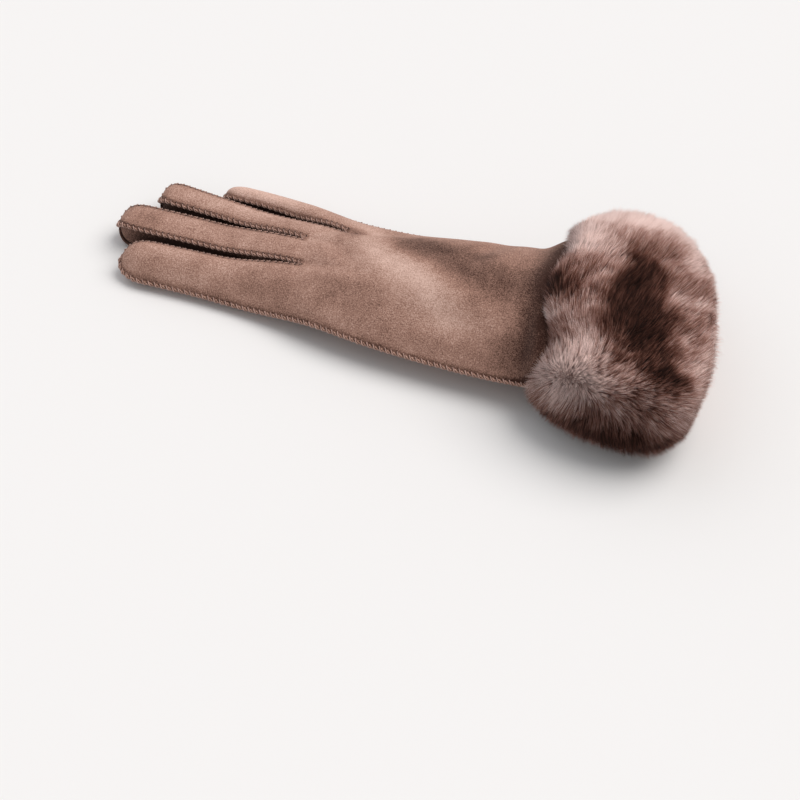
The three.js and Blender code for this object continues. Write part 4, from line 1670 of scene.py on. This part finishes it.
@dataclass(frozen=True)
class FurMap:
    """How the fur lies and how it is coloured, by the place along the cuff (mm) and the angle
    round it (degrees, 0 at the near side and 90 on top)."""

    whorl_u: float = -29.0
    whorl_angle: float = 24.0
    whorl_depth: float = 0.6  # the hair's height at the whorl's middle, as a share,
    whorl_size: float = 15.0  # and how far from there it has its full height
    arc: float = 1.0  # millimetres round the cuff for one degree
    swept_away: float = 40.0  # further from the whorl, the hair is brushed towards the mouth,
    swept_from: float = -42.0  # from this place along the cuff on,
    swept_blend: float = 10.0
    swept: tuple[float, float] = (0.9, 0.45)  # as shares along the cuff and round it
    base_tone: float = 0.5
    # the colour's unevenness: the size, the seed and the height of each pattern
    uneven: Rows = ((12.0, 5.3, 0.2), (4.0, 9.1, 0.3))
    # marks of the colour, mostly the fur's own dark and pale patches and partly painted light:
    # paler where hair lies in shade, round the whorl's hollow and at the cuff's start, and paler
    # on top where light falls; u, angle, direction, half sizes, amount
    tones: tuple[Mark, ...] = (
        Mark(-29, 35, 10, 13, 12, 0.48),
        Mark(-18, 49, 20, 8, 6, 0.24),
        Mark(-4, 42, 0, 10, 8, -0.12),
        Mark(-20, 66, 8, 13, 5, -0.16),
        Mark(4, 51, 0, 10, 8, -0.18),
        Mark(-42, 14, 0, 12, 18, 0.26),
        Mark(-38, 67, 0, 6, 4, 0.36),
        Mark(-37, 85, 0, 10, 8, -0.36),
        Mark(-17, 76, 10, 8, 5, 0.24),
        Mark(-27, 83, 0, 6, 4, -0.2),
        Mark(-30, 68, 0, 7, 6, 0.24),
        Mark(-20, 24, 0, 10, 13, 0.42),
        Mark(-36, 41, 0, 5, 14, -0.34),
        Mark(-15, 56, 0, 8, 12, 0.12),
        Mark(20, 90, 0, 9, 5, 0.42),
        Mark(-15, 48, 0, 7, 9, 0.14),
        Mark(-12, 72, 0, 5, 6, 0.18),
        Mark(28, 108, 0, 10, 8, 0.24),
        Mark(7, 58, 0, 8, 6, -0.2),
        Mark(30, 38, 90, 16, 6, 0.14),
        Mark(-4, 7, 0, 10, 6, -0.16),
        Mark(36, 5, 0, 5, 8, -0.24),
        Mark(28, 54, 0, 6, 8, 0.16),
        Mark(-21, 8, 0, 8, 9, 0.24),
        Mark(3, 79, -12, 16, 17, -0.9),
        Mark(4, 97, 0, 11, 5, -0.24),
        Mark(-8, 98, 0, 6, 5, 0.24),
        Mark(21, 45, -50, 13, 9, -0.56),
        Mark(14, 62, -50, 12, 8, -0.26),
        Mark(-4, 24, 0, 26, 12, 0.16),
        Mark(-30, 110, 0, 14, 13, 0.5),
        Mark(-14, 102, 0, 8, 8, 0.14),
        Mark(4, 110, 0, 20, 7, -0.1),
        Mark(0, 140, 0, 60, 18, 0.46),
        Mark(30, 76, 90, 20, 8, -0.06),
        Mark(36, 30, 90, 26, 6, 0.12),
        Mark(-6, -4, 0, 34, 9, -0.4),
        Mark(8, -25, 0, 50, 20, -0.4),
        Mark(32, 2, 90, 12, 7, 0.2),
        Mark(0, 190, 0, 60, 30, 0.16),
    )

    def from_whorl(self, u: Array, angle: Array) -> tuple[Array, Array, Array]:
        """Gives the way from the whorl's middle along the cuff and round it, and its length."""
        along, around = u - self.whorl_u, (angle - self.whorl_angle) * self.arc
        return along, around, np.hypot(along, around)

    def tone(self, u: Array, angle: Array, points: Array) -> Array:
        """Gives the fur's tone, 0 nearly black and 1 pale pink, painted light included."""
        total = self.base_tone + sum(mark.at(u, angle) for mark in self.tones)
        return np.clip(total + roughness_sum(points, self.uneven), 0, 1)

    def depth(self, form_u: Array, u: Array, angle: Array) -> Array:
        """Gives how deep the hair's roots lie.

        Args:
            form_u: where the form's sizes are read.
            u: the place along the cuff,
            angle: and round it.

        Returns:
            The depths.
        """
        away = self.from_whorl(u, angle)[2]
        share = lerp(self.whorl_depth, 1.0, ease(away / self.whorl_size))
        return FUR.at("root", form_u) * share

    def flow(self, u: Array, angle: Array) -> tuple[Array, Array]:
        """Gives the hair's direction.

        Args:
            u: the place along the cuff,
            angle: and round it.

        Returns:
            Its shares along the cuff and round it.
        """
        du, da, away = self.from_whorl(u, angle)
        away = np.maximum(away, 2.0)
        swept = ease((away - self.swept_away) / self.swept_away)
        swept = swept * ease((u - self.swept_from) / self.swept_blend)
        along = lerp(du / away, self.swept[0], swept)
        around = lerp(da / away, np.sign(da) * self.swept[1], swept)
        size = np.maximum(np.hypot(along, around), 0.3)
        return along / size, around / size


@dataclass(frozen=True)
class Hair:
    """Fine tapered hairs that gather into locks and tufts, with their sizes in millimetres."""

    name: str
    count: int
    seed: int
    finish: Material
    slot: Slot = Slot.FUR
    node: str = "fur_cuff"
    thickness: float = 0.23  # at the root
    lengths: tuple[float, float] = (0.72, 1.08)  # the shortest and the longest, as shares
    chance_seed: int = 11  # for the lengths and for which hairs are pale
    tuft_mm: float = 6.5
    lock_mm: float = 1.0
    tuft_pull: float = 0.12  # how far the tips are drawn to the middle of their tuft
    lock_pull: float = 0.4  # and of their lock, as shares
    stray: float = 0.7  # how far each hair strays from that
    lock_stray: float = 1.3  # and each whole lock
    lowest: float = 0.2  # no hair reaches under the surface that the cuff lies on

    def rooted(self, add: Adder, given: Sockets) -> Node:
        """Scatters the roots over the skin and stores what each root's hair is like.

        Args:
            add: adds a node to the tree.
            given: the tree's inputs.

        Returns:
            The node of the roots, which have the values `root`, `chance`, `tuft`, `lock`, and
            `reach`, how far the hair's tip is from its root.
        """
        skin = {"Mesh": given["Skin"], "Density": given["Density"], "Seed": given["Seed"]}
        kept = add("GeometryNodeDistributePointsOnFaces", skin)
        place = add("GeometryNodeInputPosition")
        cells = {
            key: add("ShaderNodeTexVoronoi", {"Vector": place, "Scale": given[key]})
            for key in ("Tuft", "Lock")
        }
        alone = {"Min": (-1, -1, -1), "Max": (1, 1, 1), "Seed": given["Seed"]}
        alone = add("FunctionNodeRandomValue", alone, data_type="FLOAT_VECTOR")
        together = {0: (cells["Lock"], "Color"), 1: (0.5, 0.5, 0.5)}
        together = add(VECTOR_MATHS, together, operation="SUBTRACT")
        chance = {"Min": 0.0, "Max": 1.0, "Seed": self.chance_seed}
        chance = add("FunctionNodeRandomValue", chance, data_type="FLOAT")
        size = {"Value": chance, "To Min": self.lengths[0], "To Max": self.lengths[1]}
        size = add("ShaderNodeMapRange", size)
        rise, flow = (
            add(VALUE_READER, {"Name": key}, data_type="FLOAT_VECTOR")
            for key in ("rise", "flow")
        )
        reach = add(VECTOR_MATHS, {0: rise, 1: flow}, operation="ADD")
        reach = add(VECTOR_MATHS, {0: reach, "Scale": size}, operation="SCALE")
        for key, cell in cells.items():
            towards = {0: (cell, "Position"), 1: place}
            towards = add(VECTOR_MATHS, towards, operation="SUBTRACT")
            towards = {0: towards, "Scale": given[f"{key} Pull"]}
            towards = add(VECTOR_MATHS, towards, operation="SCALE")
            reach = add(VECTOR_MATHS, {0: reach, 1: towards}, operation="ADD")
        for way, much in ((alone, "Stray"), (together, "Lock Stray")):
            way = add(VECTOR_MATHS, {0: way, "Scale": given[much]}, operation="SCALE")
            reach = add(VECTOR_MATHS, {0: reach, 1: way}, operation="ADD")
        for key, value, kind in (
            ("root", place, "FLOAT_VECTOR"),
            ("reach", reach, "FLOAT_VECTOR"),
            ("chance", chance, "FLOAT"),
            ("tuft", (cells["Tuft"], "Color"), "FLOAT"),
            ("lock", (cells["Lock"], "Color"), "FLOAT"),
        ):
            kept = {"Geometry": kept, "Name": key, "Value": value}
            kept = add("GeometryNodeStoreNamedAttribute", kept, data_type=kind)
        return kept

    def path(self, add: Adder, given: Sockets, own: Node) -> Node:
        """Works out where the points of the hairs lie.

        Args:
            add: adds a node to the tree.
            given: the tree's inputs.
            own: gives a point's place in the upright cone that its hair is made of.

        Returns:
            The node that gives the places.
        """
        root, tip, rise = (
            add(VALUE_READER, {"Name": key}, data_type="FLOAT_VECTOR")
            for key in ("root", "reach", "rise")
        )
        place = add(VECTOR_MATHS, {0: tip, "Scale": (own, "Z")}, operation="SCALE")
        place = add(VECTOR_MATHS, {0: place, 1: root}, operation="ADD")
        # the hair's width at its root, in two directions across it
        side = add(VECTOR_MATHS, {0: rise, 1: tip}, operation="CROSS_PRODUCT")
        side = add(VECTOR_MATHS, {0: side}, operation="NORMALIZE")
        upper = add(VECTOR_MATHS, {0: tip, 1: side}, operation="CROSS_PRODUCT")
        upper = add(VECTOR_MATHS, {0: upper}, operation="NORMALIZE")
        for direction, key in ((side, "X"), (upper, "Y")):
            width = {0: (own, key), 1: given["Thickness"]}
            width = add("ShaderNodeMath", width, operation="MULTIPLY")
            width = add(VECTOR_MATHS, {0: direction, "Scale": width}, operation="SCALE")
            place = add(VECTOR_MATHS, {0: place, 1: width}, operation="ADD")
        place = {0: place, 1: (-9.0, -9.0, self.lowest * MM)}
        return add(VECTOR_MATHS, place, operation="MAXIMUM")

    def tree(self) -> NodeTree:
        """Builds the Geometry Nodes that grow the hair on a surface.

        Returns:
            The tree. The surface has the values `rise` and `flow`, how far a hair's tip stands
            up and leans, and `tone`.
        """
        sizes = ("Density", "Thickness", "Tuft", "Lock", "Stray")
        sizes += ("Tuft Pull", "Lock Pull", "Lock Stray")
        inputs = {"Skin": "Geometry", "Seed": "Int"} | dict.fromkeys(sizes, "Float")
        tree, add, given = new_tree(f"{self.name} hair", inputs, "Hair")
        cone = {"Vertices": 3, "Radius Top": 0.0, "Radius Bottom": 1.0, "Depth": 1.0}
        cone = add("GeometryNodeMeshCone", cone)
        cone = {"Geometry": cone, "Name": "own", "Value": add("GeometryNodeInputPosition")}
        cone = add("GeometryNodeStoreNamedAttribute", cone, data_type="FLOAT_VECTOR")
        hairs = {"Points": self.rooted(add, given), "Instance": cone}
        hairs = add("GeometryNodeInstanceOnPoints", hairs)
        hairs = add("GeometryNodeRealizeInstances", {"Geometry": hairs})
        own = add(VALUE_READER, {"Name": "own"}, data_type="FLOAT_VECTOR")
        own = add("ShaderNodeSeparateXYZ", {"Vector": own})
        hairs = {"Geometry": hairs, "Position": self.path(add, given, own)}
        hairs = add("GeometryNodeSetPosition", hairs)
        hairs = {"Geometry": hairs, "Name": "along", "Value": (own, "Z")}
        hairs = add("GeometryNodeStoreNamedAttribute", hairs, data_type="FLOAT")
        end_tree(add, hairs, self.finish)
        return tree

    def grow(self, sheet: Sheet, values: dict[str, Array]) -> Object:
        """Grows the hair.

        Args:
            sheet: the skin that it grows on.
            values: the skin's values `rise`, `flow` and `tone`.

        Returns:
            The hair as a plain mesh.
        """
        source = mesh_object(f"{self.name}_skin", sheet.points, sheet.faces, values)
        sizes = {
            "Density": self.count / (sheet.area() * MM * MM),
            "Thickness": self.thickness / 2 * MM,
            "Tuft": 1 / (self.tuft_mm * MM),
            "Lock": 1 / (self.lock_mm * MM),
            "Tuft Pull": self.tuft_pull,
            "Lock Pull": self.lock_pull,
            "Stray": self.stray * MM,
            "Lock Stray": self.lock_stray * MM,
            "Seed": self.seed,
        }
        piece = grown(source, self.tree(), sizes, self.name, HAIR_VALUES)
        return dress(piece, (self.node,))


@dataclass
class FurPatch:
    """One patch of the cuff's hair, from one angle to another round it."""

    start: float
    end: float
    hair: Hair
    fur: FurMap = FurMap()
    start_margin: float = 2.0  # from the form's end to the last roots on the outside
    overhang: float = 5.5  # how far the tips pass the form towards the hand
    shortest: float = 3.2  # how high the hair stands where the form is thin
    lowest: float = 1.5  # the height of the lowest roots
    wall_share: float = 0.7  # the end walls carry hair this far down towards the hollow
    wall_rows: int = 3
    row_step: float = 2.5  # millimetres between the skin's rows,
    column_step: float = 3.0  # and degrees between its columns
    long_lean: float = 6.5  # how far the hair leans round the whorl
    short_lean: float = 4.2  # and elsewhere, where it is sheared shorter,
    lean_from: float = 22.0  # from this far from the whorl on,
    lean_blend: float = 24.0
    least_lean: float = 0.1  # at the whorl's middle, as a share,
    whorl_size: float = 16.0  # which passes off over this distance
    cuff_lean: float = 1.35  # and at the cuff's start, where it points to the hand,
    cuff_from: float = -22.0  # from this place along the cuff back
    cuff_blend: float = 8.0
    tip_share: float = 0.7  # the colour belongs to the place that the hair's tip covers
    start_flow: float = -0.8  # the hair's share along the cuff at its start,
    start_reach: float = 7.0  # from here back,
    end_flow: float = 0.9  # and at its mouth,
    end_reach: float = 10.0  # from here on
    ends_blend: float = 6.0
    sway: float = 38.0  # how far the hair's direction wanders, in degrees
    # the wandering, and the hair's uneven height: the size, the seed and the height of each
    sways: Rows = ((13.0, 6.6, 1.0), (5.0, 2.8, 0.5))
    swells: Rows = ((9.0, 1.9, 0.16), (4.0, 7.3, 0.12))

    def surface(self) -> tuple[Array, Array, Array, Array]:
        """Lays out the skin that the hair grows from.

        Returns:
            The points, the places along the cuff, the angles round it and the height of the hair.
        """
        outside = np.linspace(0, 1, int((FUR_END - FUR_START) / self.row_step))
        wall = np.linspace(1, 0, self.wall_rows, endpoint=False)
        t = np.concatenate([0 * wall, outside, 0 * wall + 1])[:, None]
        drop = self.wall_share * np.concatenate([wall, 0 * outside, wall[::-1]])[:, None]
        columns = int((self.end - self.start) / self.column_step) + 2
        angle = np.linspace(self.start, self.end, columns)[None, :]
        t, drop, angle = np.broadcast_arrays(t, drop, angle)
        first, last = fur_span(angle)
        u = lerp(first + self.start_margin, last - ROOT_MARGIN, t)
        form_u = lerp(FUR_START + self.start_margin, FUR_END - ROOT_MARGIN, t)
        depth = self.fur.depth(form_u, u, angle)
        turn = np.radians(180 - angle)
        points = section_point(FUR, u, depth, turn, form_u)
        points = lerp(points, section_point(HOLLOW, u, 0 * u, turn), drop[..., None])
        points[..., 2] = np.maximum(points[..., 2], self.lowest)
        return points, u, angle, np.maximum(depth, self.shortest)

    def flow(self, points: Array, u: Array, angle: Array) -> tuple[Array, Array]:
        """Gives the hair's direction, as shares along the cuff and round it.

        Args:
            points: the skin's points.
            u: their places along the cuff.
            angle: their angles round it.

        Returns:
            The two shares. The hair points outwards at both ends of the cuff.
        """
        first, last = fur_span(angle)
        flow_u, flow_a = self.fur.flow(u, angle)
        at_start = ease((first + self.start_reach - u) / self.ends_blend)
        at_end = ease((u - last + self.end_reach) / self.ends_blend)
        flow_u = lerp(lerp(flow_u, self.start_flow, at_start), self.end_flow, at_end)
        sway = np.radians(self.sway) * roughness_sum(points, self.sways)
        along = flow_u * np.cos(sway) - flow_a * np.sin(sway)
        return along, flow_u * np.sin(sway) + flow_a * np.cos(sway)

    def lean(self, u: Array, angle: Array, flow_u: Array) -> Array:
        """Gives how far the hair leans, which keeps its tips inside the cuff's two ends.

        Args:
            u: the place along the cuff,
            angle: and round it.
            flow_u: the share of the hair's direction along the cuff.

        Returns:
            The distances.
        """
        first, last = fur_span(angle)
        away = self.fur.from_whorl(u, angle)[2]
        sheared = ease((away - self.lean_from) / self.lean_blend)
        at_cuff = ease(-flow_u) * ease((self.cuff_from - u) / self.cuff_blend)
        lean = lerp(self.long_lean, self.short_lean, sheared) * lerp(1.0, self.cuff_lean, at_cuff)
        lean = lean * lerp(self.least_lean, 1.0, ease(away / self.whorl_size))
        room = np.where(flow_u > 0, last - u, u - first + self.overhang)
        room = room / np.maximum(np.abs(flow_u), 0.05)
        return np.minimum(lean, np.maximum(room, 1.0))

    def build(self) -> Object:
        """Grows the patch's hair.

        Returns:
            The piece.
        """
        points, u, angle, depth = self.surface()
        along = unit(np.gradient(points, axis=0))
        around = unit(np.gradient(points, axis=1))
        rise = unit(np.cross(along, around))
        out = points - cuff_point(u, FUR.at("shift", u), FUR.at("wide", u))
        rise *= np.sign((rise * out).sum(-1)[len(points) // 2, points.shape[1] // 2])
        flow_u, flow_a = self.flow(points, u, angle)
        flow = unit(along * flow_u[..., None] + around * flow_a[..., None])
        loft = depth * (1 + roughness_sum(points, self.swells))
        lean = self.lean(u, angle, flow_u)
        reach = lean * self.tip_share
        tone = self.fur.tone(u + flow_u * reach, angle + flow_a * reach / self.fur.arc, points)
        values = {
            "rise": (rise * loft[..., None] * MM).reshape(-1, 3),
            "flow": (flow * lean[..., None] * MM).reshape(-1, 3),
            "tone": tone.ravel(),
        }
        return self.hair.grow(Sheet.grid(points), values)


def still_values(tone: Array, along: float) -> dict[str, Array]:
    """Gives the hair values of a surface between the hairs.

    Args:
        tone: its tone at each point.
        along: the place along a hair that it looks like, 0 at the root and 1 at the tip.

    Returns:
        The values at each point.
    """
    usual = {key: np.full(tone.size, 0.5) for key in HAIR_VALUES}
    return usual | {"tone": tone.ravel(), "along": np.full(tone.size, along)}


@dataclass
class Pelt:
    """The cuff's skin with its dense undercoat, and the hollow inside it."""

    finish: Material
    fur: FurMap = FurMap()
    around: int = 120
    outer_rows: int = 48
    inner_rows: int = 20
    cover: float = 0.8  # the undercoat reaches this far above the roots
    margin: float = 1.0  # and ends this far inside the hair
    lowest: float = 0.6  # its lowest height
    inner_tone: float = 0.45
    along: float = 0.25  # it is as dark as the hair near its roots

    def build(self) -> Object:
        """Builds the closed body between the undercoat and the hollow.

        Returns:
            The piece.
        """
        degrees = np.linspace(-90, 270, self.around, endpoint=False)[None, :]
        angle = np.radians(180 - degrees)
        first, last = fur_span(degrees)
        start, end = first + self.margin, last - ROOT_MARGIN + self.margin
        t = np.linspace(0, 1, self.outer_rows)[:, None]
        u = lerp(start, end, t)
        form_u = lerp(FUR_START + self.margin, FUR_END - ROOT_MARGIN + self.margin, t)
        depth = self.fur.depth(form_u, u, degrees) - self.cover
        outer = section_point(FUR, u, depth, angle, form_u)
        tone = self.fur.tone(*np.broadcast_arrays(u, degrees), outer)
        outer[..., 2] = np.maximum(outer[..., 2], self.lowest)
        v = lerp(end, start, np.linspace(0, 1, self.inner_rows)[:, None])
        inner = section_point(HOLLOW, v, np.zeros_like(v), angle)
        rows = np.concatenate([outer, inner])
        sheet = Sheet.grid(rows, closed=True, looped=True).flipped()
        tone = np.concatenate([tone, np.full(inner.shape[:2], self.inner_tone)])
        values = still_values(tone, self.along)
        piece = mesh_object("cuff_undercoat", sheet.points, sheet.faces, values)
        return dress(piece, ("fur_cuff",), self.finish)


@dataclass
class Facing:
    """The pale fur turned in at the mouth: a soft ring, and the hair that stands on it."""

    finish: Material
    hair: Hair
    around: int = 96
    rim_back: float = 0.8  # the rim stays this far behind the fur's tips,
    back_from: float = 20.0  # which moves it from this place along the cuff on
    back_blend: float = 17.0
    along: float = 0.6  # the ring is as pale as the hair in its upper half
    first_row: int = 2  # the hair starts at this row of the ring,
    rim_rows: int = 3  # and on this many rows it points out of the mouth,
    rim_turn: float = 0.3  # and this much away from its middle
    rise: float = 1.8
    lean: float = 1.6
    uneven: Rows = ((14, 2.2, 0.12),)  # as in FurMap

    def ring(self) -> Array:
        """Lays out the ring's outline.

        Returns:
            Its rows.
        """
        degrees = np.linspace(-90, 270, self.around, endpoint=False)
        back = FUR_END - fur_span(degrees)[1] + self.rim_back
        rows = []
        for u, depth in FACING:
            past = max(0.0, u - HOLLOW_MOUTH)
            place = u - past - back * ease((u - self.back_from) / self.back_blend)
            inset = np.full(self.around, depth)
            row = section_point(HOLLOW, place, inset, np.radians(180 - degrees))
            rows.append(row + past * CUFF_ALONG)
        return np.array(rows)

    def build(self) -> Object:
        """Builds the ring and its hair.

        Returns:
            The hair's piece.
        """
        rows = self.ring()
        sheet = Sheet.grid(rows, closed=True, looped=True).flipped()
        values = still_values(np.ones(len(sheet.points)), self.along)
        body = mesh_object("mouth_facing", sheet.points, sheet.faces, values)
        soften(body)
        dress(body, (self.hair.node,), self.finish)
        skin = np.concatenate([rows, rows[:, :1]], 1)[self.first_row :]
        along = unit(np.gradient(skin, axis=0))
        around = unit(np.gradient(skin, axis=1))
        rise = unit(np.cross(around, along))
        inward = unit(skin.mean(1, keepdims=True) - skin)
        on_rim = np.arange(len(skin))[:, None, None] < self.rim_rows
        towards = np.where(on_rim, CUFF_ALONG - self.rim_turn * inward, inward)
        rise = rise * np.sign((rise * towards).sum(-1, keepdims=True))
        sheet = Sheet.grid(skin)
        values = {
            "rise": (rise * self.rise * MM).reshape(-1, 3),
            "flow": np.tile(CUFF_ALONG * self.lean * MM, (len(sheet.points), 1)),
            "tone": 1.0 + roughness_sum(sheet.points, self.uneven),
        }
        return self.hair.grow(sheet, values)


# Stage


@dataclass(frozen=True)
class Lamp:
    """A soft distant lamp: its strength, its width and its place in degrees, and its colour."""

    name: str
    energy: float
    width: float
    azimuth: float
    elevation: float
    colour: str


@dataclass(frozen=True)
class Stage:
    """The pale floor, the soft studio light and the camera."""

    floor: Material
    floor_half: float = 6.0  # half the floor's width, in metres
    surround: str = "#f4f5f7"
    surround_strength: float = 0.5
    lamps: tuple[Lamp, ...] = (
        Lamp("soft key", 2.05, 50, 120, 58, "#fffbf8"),
        Lamp("front fill", 0.35, 70, -120, 40, "#f4f6ff"),
    )
    target: tuple[float, float, float] = (12.46, -56.22, 0.0)
    azimuth: float = 19.0
    elevation: float = 48.0
    distance: float = 1300.0
    focal: float = 122.85
    sensor: float = 36.0
    clip: tuple[float, float] = (0.05, 20.0)  # metres

    @staticmethod
    def direction(azimuth: float, elevation: float) -> Vector:
        """Gives the direction to a place round the glove, 0 in front of it, in degrees."""
        a, e = math.radians(azimuth), math.radians(elevation)
        return Vector((math.sin(a) * math.cos(e), -math.cos(a) * math.cos(e), math.sin(e)))

    def build(self) -> None:
        """Sets up everything that isn't the glove."""
        size = self.floor_half
        corners = [(-size, -size, 0), (size, -size, 0), (size, size, 0), (-size, size, 0)]
        mesh = bpy.data.meshes.new("floor")
        mesh.from_pydata(corners, [], [(0, 1, 2, 3)])
        mesh.materials.append(self.floor)
        floor = linked("floor", mesh)
        self.light()
        self.camera()

    def light(self) -> None:
        """Sets a wide soft sun from the back right and an even pale surround."""
        scene = bpy.context.scene
        scene.view_settings.view_transform = "Standard"
        scene.view_settings.look = "None"
        world = bpy.data.worlds.new("pale surround")
        world.use_nodes = True
        shader = world.node_tree.nodes["Background"]
        looks = {"Color": linear(self.surround), "Strength": self.surround_strength}
        fill(shader, looks)
        scene.world = world
        for lamp in self.lamps:
            data = bpy.data.lights.new(lamp.name, "SUN")
            data.energy = lamp.energy
            data.angle = math.radians(lamp.width)
            data.color = linear(lamp.colour)[:3]
            towards = self.direction(lamp.azimuth, lamp.elevation)
            sun = linked(lamp.name, data)
            sun.rotation_mode = "QUATERNION"
            sun.rotation_quaternion = towards.to_track_quat("Z", "Y")

    def camera(self) -> None:
        """Sets the camera at the photographed viewing angle."""
        back = self.direction(self.azimuth, self.elevation)
        data = bpy.data.cameras.new("camera")
        data.lens = self.focal
        data.sensor_width = self.sensor
        data.clip_start, data.clip_end = self.clip
        camera = linked("camera", data)
        camera.location = Vector(self.target) * MM + back * self.distance * MM
        camera.rotation_mode = "QUATERNION"
        camera.rotation_quaternion = (-back).to_track_quat("-Z", "Y")
        bpy.context.scene.camera = camera


# The glove


def main() -> None:
    """Builds the glove, piece by piece, on its stage."""
    logging.basicConfig(level=logging.INFO, format="%(message)s")
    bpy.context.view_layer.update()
    back_suede = Suede("darkest_shade_suede", "#371d15", "#a98272", "#e4c1b2").build()
    palm_suede = Suede("palm_suede", "#452d25", "#9c7768", "#cba796").build()
    thread = WaxedThread("waxed_thread", "#b8968a").build()
    # the thread's finish, nearly black, stands for painted shadow in the needle holes
    hole = WaxedThread("needle_hole_shadow", "#2b1b16").build()
    fur = DyedFur("dyed_sheared_fur", FUR_TONES).build()
    pale = DyedFur("pale_sheared_fur", FUR_TONES, root_share=0.65).build()
    form = HandForm()
    panels = {
        Face.BACK: SuedePanel(Face.BACK, form, back_suede),
        Face.PALM: SuedePanel(Face.PALM, form, palm_suede),
    }
    for face, panel in panels.items():
        lines = SeamLine.of(face, *panel.build())
        RolledEdge(panel.finish).build(f"{face.value}_rolled_edge", lines)
        WhipStitches(thread, 0.28).build(f"{face.value}_stitches", lines)
        NeedleHoleShadows(hole, 0.44).build(f"{face.value}_holes", lines)
    for gap in range(len(CROTCHES)):
        Fourchette(gap, form, back_suede, panels[Face.BACK]).build()
    Thumb(palm_suede).build()
    Pelt(fur).build()
    for name, start, end, count, seed in FUR_PATCHES:
        FurPatch(start, end, Hair(name, count, seed, fur)).build()
    hair = Hair("mouth_fur", 13000, 17, pale, Slot.PALE_FUR, "mouth_fur_facing", tuft_mm=6.0)
    Facing(pale, hair).build()
    Stage(MattePaper("matte_paper", "#f0efee").build()).build()
    bpy.context.view_layer.update()


if __name__ == "__main__":
    main()
